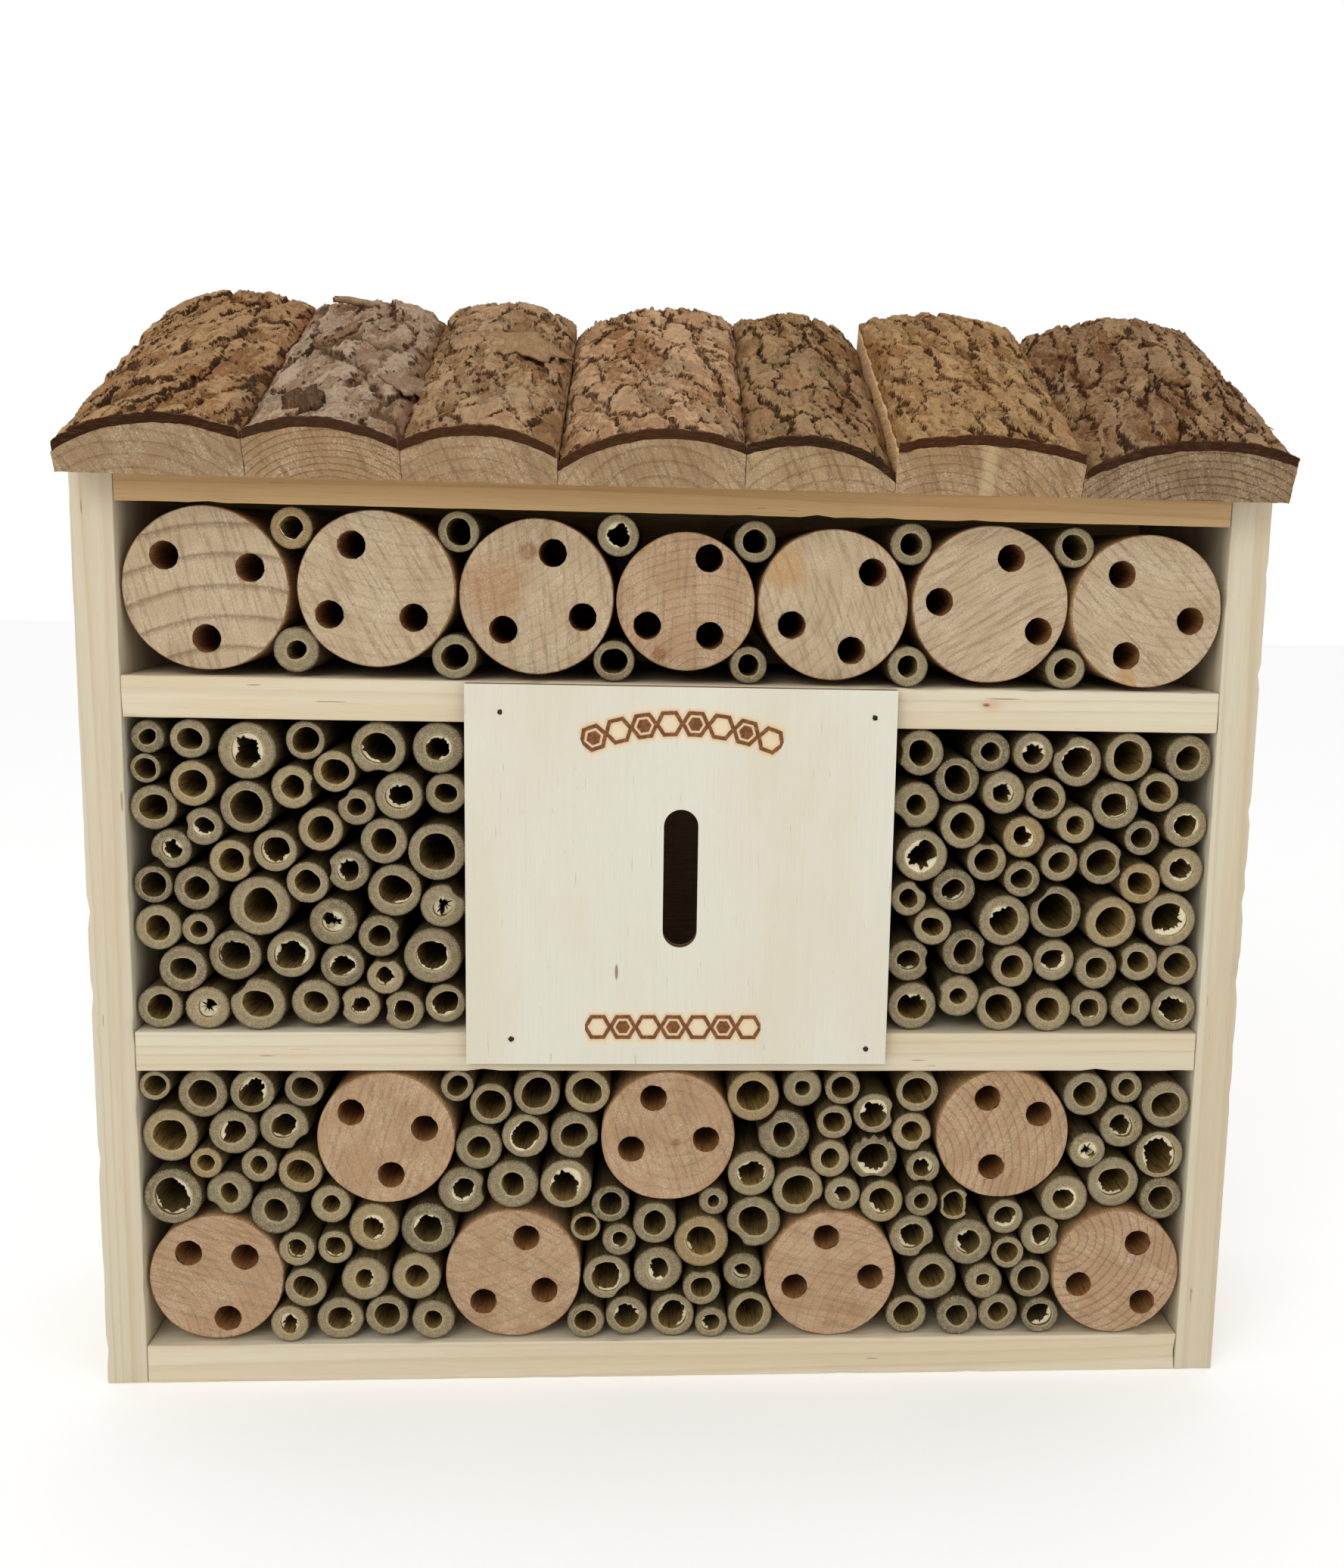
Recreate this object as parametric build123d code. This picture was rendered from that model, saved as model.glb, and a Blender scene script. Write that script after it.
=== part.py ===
from build123d import *
import math
import os

# Insect hotel: a pine box on two shelves, filled with drilled logs and reed tubes, under a pent
# roof of half-round slabs that still carry their bark. X to the right, Y to the back, Z up. The
# origin is at the middle of the base board's underside.

# ---- driving dimensions, mm ----
WIDTH = 340                  # outside, over the side boards
BOARD = 12                   # thickness of every board in the frame
DEPTH = 92                   # outside, from the boards' front edges to the back panel
BACK_PANEL = 4               # plywood
LOW_ROOM = 86                # clear heights of the three levels
MIDDLE_ROOM = 92
TOP_ROOM = 48                # at the front edge
ROOF_PITCH = 25              # degrees, rising to the back
ROOF_OVERHANG = 15           # in front of the boards, along the slope
BARK = 3                     # thickness of the bark
SLAB_GAP = 0.2               # between one slab and the next

PLATE_WIDTH, PLATE_HEIGHT, PLATE = 124, 112, 3.5
PLATE_BOTTOM = 101.5
SLOT_WIDTH, SLOT_HEIGHT, SLOT_MIDDLE = 10, 41, 157.5
PARTITION = 8

LOG_LENGTH = 82
LOG_HOLE, LOG_HOLE_DEPTH = 8, 60
REED_LENGTH = 84
REED_GAP = 0.15              # least space between two reeds, or a reed and its neighbour

# ---- levels and faces that follow from them ----
FRONT = -DEPTH / 2
BACK = DEPTH / 2
FRAME_BACK = BACK - BACK_PANEL
SIDE = WIDTH / 2
INSIDE = SIDE - BOARD
LOW_SHELF = BOARD + LOW_ROOM
MIDDLE_FLOOR = LOW_SHELF + BOARD
UP_SHELF = MIDDLE_FLOOR + MIDDLE_ROOM
TOP_FLOOR = UP_SHELF + BOARD
DECK_FRONT = TOP_FLOOR + TOP_ROOM
CHAMBER = PLATE_WIDTH / 2 - 0.5      # outer faces of the two partitions

SLOPE = math.radians(ROOF_PITCH)
UPHILL = Vector(0, math.cos(SLOPE), math.sin(SLOPE))
ROOF_UP = Vector(0, -math.sin(SLOPE), math.cos(SLOPE))
DECK_PLUMB = BOARD / math.cos(SLOPE)
ROOF_FRONT = Vector(0, FRONT, DECK_FRONT + DECK_PLUMB)     # front edge of the deck's top
SLOPE_LENGTH = DEPTH / math.cos(SLOPE)

# ---- nails: shank diameter, length, head diameter, head thickness ----
FRAME_NAIL = (2.0, 35, 4.2, 0.9)
BACK_NAIL = (1.5, 16, 3.2, 0.7)
PLATE_NAIL = (1.2, 18, 1.8, 0.6)
ROOF_NAIL = (1.8, 19, 4.0, 0.8)
NAIL_PLAY = 0.05             # radial space round a nail in its hole
FRAME_NAIL_Y = (-26, 22)
PLATE_NAILS = [(-52, 205.5), (55.5, 205.5), (-49, 109), (56, 106)]

# ---- roof slabs: width, height of the sawn wood at its left edge, crown and right edge,
#      and how far the back end stops short of the back panel's face ----
SLABS_LEFT = -168.5          # x of the first slab's left side
SLABS = [
    (50, 5.6, 14.3, 10.2, 5),
    (41.5, 10.4, 14.4, 8.4, 8),
    (42, 8.4, 13.3, 7.2, 5),
    (51, 3.8, 13.6, 10, 6),
    (41.5, 9.8, 12.6, 3, 5),
    (52.5, 11.6, 14.4, 9.6, 6),
    (59.5, 5.4, 14.6, 10.6, 5),
]

# ---- drilled logs: x and z of the centre, diameter, then x and z of each hole from the centre ----
TOP_LOGS = [
    (-134.5, 238.5, 46.5, [(-11, 9), (12.5, 6), (0, -14)]),
    (-87, 239.5, 44.5, [(-6.5, 12), (-13, -7.5), (10.5, -8)]),
    (-42, 238, 44.5, [(4.5, 12.5), (-9.5, -9.5), (13, -5.5)]),
    (0.5, 237.5, 40, [(6.5, 12.5), (-11, -7), (7, -9.5)]),
    (43, 237.5, 44, [(11, 9.5), (-12, -6), (5.5, -13)]),
    (89, 238.5, 46, [(5.5, 13.5), (-15, 0.5), (14.5, -7.5)]),
    (135, 237.5, 45, [(-8, 10.5), (13, -2.5), (-5.5, -13)]),
]
LOW_LOGS = [
    (-137.5, 32.5, 40, [(-8, 8), (8.5, 6.5), (3, -13)]),
    (-86.5, 77, 41, [(-10, 8), (11.5, 3), (1.5, -11.5)]),
    (-49, 33, 41.5, [(4, 11.5), (9.5, -5.5), (-9, -9)]),
    (-2.5, 77, 41, [(-4.5, 12), (11.5, -1), (-11, -4)]),
    (48, 32.5, 41, [(-1.5, 12), (-11, -4), (12.5, -1)]),
    (100, 77, 41.5, [(-5, 11.5), (11, 6.5), (-3, -10.5)]),
    (137.5, 32.5, 40.5, [(6.5, 9.5), (-11.5, -4), (9, -10)]),
]

# ---- reed tubes: x, z, outside diameter, bore and, where one side is dented, the dent's bearing
#      in degrees. They are laid here by eye, and settle() then makes them clear of each other. ----
REEDS_TOP = [
    (-110, 256, 12, 7), (-64, 256, 12, 8), (-19, 256, 12, 7), (20, 255, 12, 7),
    (65, 255, 13, 7), (112, 255, 13, 7), (-110, 222, 13, 5), (-65, 221, 13, 7),
    (-20, 220, 12, 7), (18, 220, 11, 6), (65, 220, 12, 6), (112, 220, 12, 6),
]
REEDS_MIDDLE_LEFT = [
    [
        (-152, 197, 11, 5), (-140, 196, 12, 7), (-124, 194, 18, 10), (-107, 197, 12, 8),
        (-87, 194, 16, 10, 270), (-70, 195, 15, 8), (-152, 187, 10, 6), (-140, 183, 14, 8),
        (-112, 182, 13, 7, 0), (-100, 186, 13, 7), (-81, 181, 14, 7), (-69, 181, 12, 6),
        (-126, 177, 17, 10), (-94, 178, 11, 5, 135), (-151, 176, 14, 8),
    ],
    [
        (-137, 170, 12, 6, 180), (-146, 165, 13, 6, 225), (-117, 164, 13, 8), (-104, 170, 13, 7),
        (-86, 167, 14, 8), (-71, 164, 17, 11), (-152, 155, 12, 7), (-129, 160, 13, 7, 0),
        (-140, 152, 14, 7), (-108, 155, 13, 7), (-97, 157, 13, 6, 180), (-84, 152, 16, 9),
        (-70, 148, 13, 6, 45), (-121, 147, 18, 11), (-150, 142, 14, 7), (-138, 141, 10, 5),
    ],
    [
        (-101, 143, 14, 7), (-87, 138, 13, 6, 0), (-72, 133, 17, 10), (-129, 133, 16, 9),
        (-113, 133, 14, 9), (-144, 129, 14, 7), (-99, 129, 13, 7), (-86, 127, 11, 6, 90),
        (-151, 117, 13, 7), (-138, 117, 13, 5), (-124, 119, 16, 9, 135), (-106, 119, 14, 7),
        (-93, 118, 12, 6, 180), (-81, 117, 12, 6, 180), (-69, 118, 12, 7),
    ],
]
REEDS_MIDDLE_RIGHT = [
    [
        (71, 195, 14, 8, 180), (90, 195, 13, 6), (103, 196, 13, 7), (116, 193, 15, 10, 135),
        (132, 194, 15, 9), (150, 194, 15, 8), (82, 188, 14, 8), (95, 184, 13, 6),
        (108, 181, 13, 7), (129, 180, 15, 7), (142, 184, 13, 7), (71, 180, 14, 6, 225),
        (83, 173, 14, 7), (150, 174, 14, 7), (102, 170, 13, 6),
    ],
    [
        (119, 173, 12, 6), (138, 170, 11, 6), (72, 164, 16, 10), (92, 162, 13, 7, 90),
        (113, 163, 13, 7), (126, 161, 15, 9, 0), (150, 160, 14, 7), (138, 157, 13, 7),
        (103, 157, 12, 6), (82, 154, 13, 7), (69, 151, 11, 6, 45), (113, 147, 16, 10, 135),
        (97, 145, 16, 9), (147, 146, 17, 10), (130, 144, 16, 9), (76, 143, 12, 6),
    ],
    [
        (86, 136, 14, 8, 0), (69, 132, 13, 6, 0), (100, 131, 13, 7), (113, 132, 13, 7),
        (126, 130, 13, 6), (139, 132, 12, 6, 180), (151, 131, 13, 7), (84, 122, 13, 5, 180),
        (71, 118, 15, 9), (97, 118, 14, 8), (112, 117, 14, 7), (125, 117, 12, 6, 225),
        (138, 118, 13, 5), (151, 118, 14, 8),
    ],
]
REEDS_LOW = [
    [
        (-154, 93, 9, 6), (-140, 91, 15, 9), (-125, 92, 13, 8), (-111, 92, 12, 7),
        (-150, 78, 17, 9), (-131, 79, 14, 7), (-116, 81, 15, 8, 315), (-139, 69, 10, 5),
        (-123, 68, 11, 5), (-111, 67, 14, 7), (-149, 59, 17, 10), (-133, 58, 14, 6, 225),
        (-119, 54, 15, 7), (-103, 56, 12, 6),
    ],
    [
        (-91, 48, 16, 8), (-74, 48, 17, 9), (-115, 41, 12, 6), (-104, 42, 12, 6),
        (-112, 29, 13, 7), (-94, 33, 14, 6), (-78, 33, 15, 7), (-118, 18, 12, 6),
        (-101, 19, 14, 7), (-87, 20, 13, 7), (-73, 19, 13, 5), (-64, 59, 15, 7, 0),
    ],
    [
        (-65, 94, 10, 6), (-56, 87, 13, 8), (-42, 91, 14, 9), (-27, 91, 14, 9),
        (-59, 74, 14, 6), (-45, 78, 14, 8), (-31, 77, 15, 8, 315), (-49, 62, 16, 8),
        (-33, 62, 16, 9), (-19, 58, 14, 7), (-6, 52, 14, 7), (-28, 48, 11, 6), (-17, 44, 11, 5),
    ],
    [
        (-21, 32, 15, 9, 315), (-5, 34, 15, 7), (8, 44, 17, 10), (25, 49, 17, 9, 225),
        (11, 57, 9, 4), (8, 28, 12, 6, 90), (21, 33, 12, 5), (-29, 18, 12, 7), (-15, 19, 14, 8),
        (-1, 19, 14, 8), (12, 17, 10, 5), (23, 19, 14, 8),
    ],
    [
        (22, 65, 15, 8), (32, 78, 16, 8, 135), (23, 90, 16, 9), (38, 92, 12, 5),
        (37, 60, 16, 9, 315), (50, 92, 11, 7), (73, 91, 14, 8), (48, 82, 11, 6),
        (60, 84, 13, 8, 0), (72, 77, 13, 7, 315), (47, 70, 12, 6), (61, 69, 15, 10, 270),
        (76, 67, 11, 6, 270), (51, 58, 11, 5), (64, 56, 14, 7), (76, 57, 11, 5),
    ],
    [
        (87, 56, 11, 7, 180), (73, 44, 14, 8, 315), (90, 43, 16, 8), (102, 51, 12, 6),
        (116, 43, 13, 7, 0), (104, 39, 11, 6), (80, 32, 16, 8), (96, 30, 12, 5),
        (111, 30, 13, 7), (73, 18, 13, 7), (88, 18, 13, 7), (101, 18, 13, 7), (114, 18, 12, 8),
    ],
    [
        (125, 90, 14, 7), (138, 92, 10, 5), (150, 87, 15, 9), (137, 79, 14, 7),
        (149, 70, 16, 11), (126, 72, 12, 6), (135, 60, 17, 10), (119, 57, 15, 8),
        (151, 54, 14, 7),
    ],
]
DENT_DEPTH = 0.1             # of the reed's diameter
DENT_RADIUS = 0.45           # of the reed's diameter
SETTLE_ROUNDS = 60
SETTLE_PULL = 0.2            # share of the way back to its own place in each round
TRIM_ROUNDS = 6


# ---- helpers ----
def save(node, shape):
    export_step(shape, f"parts/{node}.step")


def block(x, y, z):
    """A box from its lowest and highest x, y and z."""
    return Pos(x[0], y[0], z[0]) * Box(
        x[1] - x[0], y[1] - y[0], z[1] - z[0], align=(Align.MIN, Align.MIN, Align.MIN)
    )


def along_x(points, x0, x1):
    """A prism whose outline is given as y, z points, from x0 to x1."""
    outline = make_face(Polyline(*[(x0, y, z) for y, z in points], close=True))
    return extrude(outline, amount=x1 - x0, dir=(1, 0, 0))


def round_y(x, z, diameter, y0, y1):
    """A cylinder along Y, centred at x and z, from y0 to y1."""
    plane = Plane((x, y0, z), x_dir=(1, 0, 0), z_dir=(0, 1, 0))
    return plane * Cylinder(diameter / 2, y1 - y0, align=(Align.CENTER, Align.CENTER, Align.MIN))


def deck_line(y, up=0.0):
    """Height of the deck's underside at y, plus a distance measured plumb."""
    return DECK_FRONT + (y - FRONT) * math.tan(SLOPE) + up


def roof_point(x, along, up):
    """A point on the roof: x, distance up the slope from the front edge, height above the deck."""
    return ROOF_FRONT + Vector(x, 0, 0) + UPHILL * along + ROOF_UP * up


def nail(head, into, size, play=0.0):
    """A round nail with a flat head whose top is at the point head, driven along the vector into."""
    shank, length, head_width, head_height = size
    plane = Plane(head, z_dir=into)
    base = (Align.CENTER, Align.CENTER, Align.MIN)
    body = Cylinder(shank / 2 + play, length + play, align=base)
    top = Cylinder(head_width / 2 + play, head_height, align=base)
    return plane * (body + top)


def nails_and_holes(places, size):
    """The nails at (point, direction) places, and the larger shapes that cut their holes."""
    nails = [nail(point, into, size) for point, into in places]
    holes = [nail(point, into, size, NAIL_PLAY) for point, into in places]
    return nails, holes


def drilled(shape, holes):
    """The shape less every hole that reaches it."""
    box = shape.bounding_box()
    for hole in holes:
        if hole.bounding_box().overlaps(box):
            shape = shape - hole
    return shape


# ---- nails ----
def frame_nail_places():
    """Two nails through each side board into the end of each level board."""
    places = []
    for side in (-1, 1):
        for y in FRAME_NAIL_Y:
            levels = [BOARD / 2, LOW_SHELF + BOARD / 2, UP_SHELF + BOARD / 2]
            levels.append(deck_line(y, DECK_PLUMB / 2))
            places += [((side * SIDE, y, z), (-side, 0, 0)) for z in levels]
    return places


def back_nail_places():
    """Nails through the back panel into the side boards, the level boards and the deck."""
    spots = [(side * (SIDE - BOARD / 2), z) for side in (-1, 1) for z in (40, 150, 250)]
    spots += [(x, z + BOARD / 2) for x in (-75, 75) for z in (0, LOW_SHELF, UP_SHELF)]
    spots += [(x, deck_line(FRAME_BACK, DECK_PLUMB / 2)) for x in (-100, 0, 100)]
    return [((x, BACK, z), (0, -1, 0)) for x, z in spots]


def plate_nail_places():
    return [((x, FRONT - PLATE, z), (0, 1, 0)) for x, z in PLATE_NAILS]


def roof_nail_places():
    """Two nails up through the deck into the middle of each slab."""
    places = []
    for left, right, _ in slab_edges():
        for along in (22, SLOPE_LENGTH - 26):
            places.append((roof_point((left + right) / 2, along, -BOARD), ROOF_UP))
    return places


# ---- frame ----
def side_board(side, holes):
    outline = [
        (FRONT, 0),
        (FRAME_BACK, 0),
        (FRAME_BACK, deck_line(FRAME_BACK, DECK_PLUMB)),
        (FRONT, deck_line(FRONT, DECK_PLUMB)),
    ]
    inner, outer = sorted((side * INSIDE, side * SIDE))
    return drilled(along_x(outline, inner, outer), holes)


def level_board(z, holes):
    return drilled(block((-INSIDE, INSIDE), (FRONT, FRAME_BACK), (z, z + BOARD)), holes)


def roof_deck(holes):
    ends = (FRONT, FRAME_BACK)
    outline = [(y, deck_line(y)) for y in ends]
    outline += [(y, deck_line(y, DECK_PLUMB)) for y in reversed(ends)]
    return drilled(along_x(outline, -INSIDE, INSIDE), holes)


def back_panel(holes):
    outline = [(FRAME_BACK, 0), (BACK, 0)]
    outline += [(y, deck_line(y, DECK_PLUMB)) for y in (BACK, FRAME_BACK)]
    return drilled(along_x(outline, -SIDE, SIDE), holes)


def partition(side):
    inner, outer = sorted((side * (CHAMBER - PARTITION), side * CHAMBER))
    return block((inner, outer), (FRONT, FRAME_BACK), (MIDDLE_FLOOR, UP_SHELF))


def front_plate(holes):
    half = PLATE_WIDTH / 2
    board = block(
        (-half, half), (FRONT - PLATE, FRONT), (PLATE_BOTTOM, PLATE_BOTTOM + PLATE_HEIGHT)
    )
    plane = Plane((0, FRONT - PLATE, SLOT_MIDDLE), x_dir=(0, 0, 1), z_dir=(0, 1, 0))
    slot = extrude(plane * SlotOverall(SLOT_HEIGHT, SLOT_WIDTH), amount=PLATE, dir=(0, 1, 0))
    return drilled(board - slot, holes)


# ---- roof ----
def slab_edges():
    """Left and right x of each slab's sawn sides, side by side across the box, and its data."""
    left = SLABS_LEFT
    edges = []
    for slab in SLABS:
        edges.append((left, left + slab[0] - SLAB_GAP, slab))
        left += slab[0]
    return edges


def roof_prism(outline, short):
    """A prism up the slope whose outline is drawn in x and height above the deck."""
    start = roof_point(0, -ROOF_OVERHANG, 0)
    plane = Plane(start, x_dir=(1, 0, 0), z_dir=-UPHILL)
    length = ROOF_OVERHANG + SLOPE_LENGTH - short
    return extrude(plane * outline, amount=length, dir=UPHILL)


def roof_slab(left, right, slab, holes):
    """The sawn wood of one half-round slab: flat below, arched above."""
    _, left_high, crown, right_high, short = slab
    middle = (left + right) / 2
    arch = ThreePointArc((left, left_high), (middle, crown), (right, right_high))
    sides = Polyline((right, right_high), (right, 0), (left, 0), (left, left_high))
    return drilled(roof_prism(make_face(Curve() + [arch, sides]), short), holes)


def bark_cover(left, right, slab):
    """The bark over one slab, as thick all over its arch."""
    _, left_high, crown, right_high, short = slab
    middle = (left + right) / 2
    low = ThreePointArc((left, left_high), (middle, crown), (right, right_high))
    rise = Polyline((right, right_high), (right, right_high + BARK))
    high = ThreePointArc(
        (right, right_high + BARK), (middle, crown + BARK), (left, left_high + BARK)
    )
    fall = Polyline((left, left_high + BARK), (left, left_high))
    return roof_prism(make_face(Curve() + [low, rise, high, fall]), short)


# ---- filling ----
def drilled_log(log, front):
    x, z, diameter, holes = log
    solid = round_y(x, z, diameter, front, front + LOG_LENGTH)
    for dx, dz in holes:
        solid = solid - round_y(x + dx, z + dz, LOG_HOLE, front, front + LOG_HOLE_DEPTH)
    return solid


def reed_tube(reed, front):
    """A reed with its bore open at both ends, and a long dent in one side if it has one."""
    x, z, outer, bore = reed[:4]
    ring = Circle(outer / 2)
    if len(reed) > 4:
        bearing = math.radians(reed[4])
        dent = DENT_RADIUS * outer
        reach = outer / 2 + dent - DENT_DEPTH * outer
        ring = ring - Pos(reach * math.cos(bearing), reach * math.sin(bearing)) * Circle(dent)
    ring = ring - Circle(bore / 2)
    plane = Plane((x, front, z), x_dir=(1, 0, 0), z_dir=(0, -1, 0))
    return extrude(plane * ring, amount=REED_LENGTH, dir=(0, 1, 0))


def overlap(a, b):
    """How much too near each other two round pieces are. Less than zero is clear."""
    return (a[2] + b[2]) / 2 + REED_GAP - math.dist(a[:2], b[:2])


def push_apart(a, b, fixed):
    """Move two round pieces apart until they are clear. A fixed b stays where it is."""
    short = overlap(a, b)
    if short <= 0:
        return
    distance = math.dist(a[:2], b[:2])
    share = short / distance if fixed else short / distance / 2
    dx, dz = (b[0] - a[0]) * share, (b[1] - a[1]) * share
    a[0] -= dx
    a[1] -= dz
    if not fixed:
        b[0] += dx
        b[1] += dz


def keep_inside(reed, room):
    """Move a reed back between the walls of its room."""
    reach = reed[2] / 2 + REED_GAP
    reed[0] = min(max(reed[0], room[0] + reach), room[1] - reach)
    reed[1] = min(max(reed[1], room[2] + reach), room[3] - reach)


def trim(a, b, fixed):
    """Make two overlapping pieces thinner in proportion. A fixed b keeps its diameter."""
    short = max(overlap(a, b), 0)
    both = a[2] + b[2]
    share = 1 if fixed else a[2] / both
    a[2] -= 2 * short * share
    if not fixed:
        b[2] -= 2 * short * (1 - share)


def settle(groups, room, logs):
    """Let the reeds of one room push each other a little off their places, then trim overlaps."""
    placed = [[list(reed) for reed in group] for group in groups]
    reeds = [reed for group in placed for reed in group]
    homes = [reed[:2] for reed in reeds]
    for _ in range(SETTLE_ROUNDS):
        for reed, home in zip(reeds, homes):
            reed[0] += (home[0] - reed[0]) * SETTLE_PULL
            reed[1] += (home[1] - reed[1]) * SETTLE_PULL
        for i, reed in enumerate(reeds):
            for other in reeds[i + 1:]:
                push_apart(reed, other, False)
            for log in logs:
                push_apart(reed, log, True)
            keep_inside(reed, room)
    for _ in range(TRIM_ROUNDS):
        for i, reed in enumerate(reeds):
            for other in reeds[i + 1:]:
                trim(reed, other, False)
            for log in logs:
                trim(reed, log, True)
    return placed


def recess(index):
    """How far back a piece of the filling stands from the boards' front edges."""
    return 1.5 + 0.9 * math.sin(2.4 * index)


# ---- hanger on the back ----
HANGER_Z = UP_SHELF + BOARD / 2
HANGER_SHEET = 1.2
HANGER_RISE = 3              # clear space behind the raised middle, for a screw's head
HANGER_HEIGHT = 24
HANGER_HALF = 30
HANGER_BRIDGE = 14           # half of the raised middle
HANGER_LEG = 2               # how far each slanted leg runs sideways
KEYHOLE, KEY_SLOT, KEY_RISE = 9, 4.5, 7
HANGER_SCREW_X = 23
HANGER_SCREW = (3.0, 18, 6.0, 1.4)


def hanger_plate():
    """A raised steel strap with a keyhole, screwed to the back at the upper shelf."""
    high = BACK + HANGER_RISE
    foot = HANGER_BRIDGE + HANGER_LEG
    inner = [
        (-HANGER_HALF, BACK), (-foot, BACK), (-HANGER_BRIDGE, high),
        (HANGER_BRIDGE, high), (foot, BACK), (HANGER_HALF, BACK),
    ]
    outer = [(x, y + HANGER_SHEET) for x, y in reversed(inner)]
    low = HANGER_Z - HANGER_HEIGHT / 2
    face = make_face(Polyline(*[(x, y, low) for x, y in inner + outer], close=True))
    strap = extrude(face, amount=HANGER_HEIGHT, dir=(0, 0, 1))
    deep = high + HANGER_SHEET
    strap = strap - round_y(0, HANGER_Z - KEY_RISE / 2, KEYHOLE, high, deep)
    slot_top = HANGER_Z + KEY_RISE / 2
    strap = strap - round_y(0, slot_top, KEY_SLOT, high, deep)
    half = KEY_SLOT / 2
    strap = strap - block((-half, half), (high, deep), (HANGER_Z - KEY_RISE / 2, slot_top))
    for side in (-1, 1):
        hole = HANGER_SCREW[0] + 4 * NAIL_PLAY
        strap = strap - round_y(side * HANGER_SCREW_X, HANGER_Z, hole, BACK, BACK + HANGER_SHEET)
    return strap


def hanger_screw_places():
    back = BACK + HANGER_SHEET + HANGER_SCREW[3]
    return [((side * HANGER_SCREW_X, back, HANGER_Z), (0, -1, 0)) for side in (-1, 1)]


# ---- the whole hotel ----
os.makedirs("parts", exist_ok=True)

frame_nails, frame_holes = nails_and_holes(frame_nail_places(), FRAME_NAIL)
back_nails, back_holes = nails_and_holes(back_nail_places(), BACK_NAIL)
plate_nails, plate_holes = nails_and_holes(plate_nail_places(), PLATE_NAIL)
roof_nails, roof_holes = nails_and_holes(roof_nail_places(), ROOF_NAIL)
screws, screw_holes = nails_and_holes(hanger_screw_places(), HANGER_SCREW)
board_holes = frame_holes + back_holes + plate_holes + screw_holes

save("frame_nails", Compound(children=frame_nails))
save("back_panel_nails", Compound(children=back_nails))
save("plate_nails", Compound(children=plate_nails))
save("roof_nails", Compound(children=roof_nails))
save("hanger_screws", Compound(children=screws))
save("hanger_plate", hanger_plate())

save("base_board", level_board(0, board_holes))
save("lower_shelf", level_board(LOW_SHELF, board_holes))
save("upper_shelf", level_board(UP_SHELF, board_holes))
save("left_side_board", side_board(-1, board_holes))
save("right_side_board", side_board(1, board_holes))
save("roof_deck", roof_deck(board_holes + roof_holes))
save("back_panel", back_panel(back_holes + screw_holes))
save("left_partition", partition(-1))
save("right_partition", partition(1))
save("front_plate", front_plate(plate_holes))

for number, (left, right, slab) in enumerate(slab_edges(), 1):
    save(f"roof_slab_{number}", roof_slab(left, right, slab, roof_holes))
    save(f"bark_{number}", bark_cover(left, right, slab))

for name, logs in (("top_log", TOP_LOGS), ("low_log", LOW_LOGS)):
    for number, log in enumerate(logs, 1):
        save(f"{name}_{number}", drilled_log(log, FRONT + recess(number)))

rooms = [
    ("reeds_top", [REEDS_TOP], (-INSIDE, INSIDE, TOP_FLOOR, DECK_FRONT), TOP_LOGS),
    ("reeds_middle_left", REEDS_MIDDLE_LEFT, (-INSIDE, -CHAMBER, MIDDLE_FLOOR, UP_SHELF), []),
    ("reeds_middle_right", REEDS_MIDDLE_RIGHT, (CHAMBER, INSIDE, MIDDLE_FLOOR, UP_SHELF), []),
    ("reeds_low", REEDS_LOW, (-INSIDE, INSIDE, BOARD, LOW_SHELF), LOW_LOGS),
]
for name, groups, room, logs in rooms:
    for number, group in enumerate(settle(groups, room, logs), 1):
        tubes = [reed_tube(reed, FRONT + recess(index)) for index, reed in enumerate(group)]
        node = name if len(groups) == 1 else f"{name}_{number}"
        save(node, Compound(children=tubes))
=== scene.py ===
import math
from collections import namedtuple

import bpy
import numpy as np
from mathutils import Matrix, Vector
from mathutils.geometry import delaunay_2d_cdt


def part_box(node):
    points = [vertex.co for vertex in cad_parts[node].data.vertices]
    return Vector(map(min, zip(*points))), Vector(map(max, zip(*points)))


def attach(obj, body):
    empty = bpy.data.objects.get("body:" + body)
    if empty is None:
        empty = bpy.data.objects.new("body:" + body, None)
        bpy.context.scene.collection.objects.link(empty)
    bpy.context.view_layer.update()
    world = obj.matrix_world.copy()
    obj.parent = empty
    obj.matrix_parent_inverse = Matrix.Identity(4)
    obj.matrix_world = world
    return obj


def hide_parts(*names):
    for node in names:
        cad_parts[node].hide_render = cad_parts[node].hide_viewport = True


# The looks of the insect hotel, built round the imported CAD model. Lengths here are in mm, in the
# row frame, and make_object() turns them into metres.
MM = 0.001
TURN = 2 * math.pi
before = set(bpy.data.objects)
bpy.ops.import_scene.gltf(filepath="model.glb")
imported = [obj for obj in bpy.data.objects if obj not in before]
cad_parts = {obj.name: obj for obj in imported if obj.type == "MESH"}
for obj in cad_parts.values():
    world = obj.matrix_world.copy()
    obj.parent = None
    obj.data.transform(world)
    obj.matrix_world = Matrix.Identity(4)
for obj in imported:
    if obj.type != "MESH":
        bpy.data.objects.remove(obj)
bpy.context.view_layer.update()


# ---- the frame, read ----
def mm_box(node):
    """Lowest and highest corner of a CAD node, in mm."""
    low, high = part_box(node)
    return np.array(low) / MM, np.array(high) / MM


def node_points(node):
    """A CAD node's vertices in mm, with no doubles, and the index of each one by its old index."""
    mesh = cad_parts[node].data
    points = np.empty(len(mesh.vertices) * 3)
    mesh.vertices.foreach_get("co", points)
    points = np.round(points.reshape(-1, 3) / MM, 3)
    return np.unique(points, axis=0, return_inverse=True)


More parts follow.
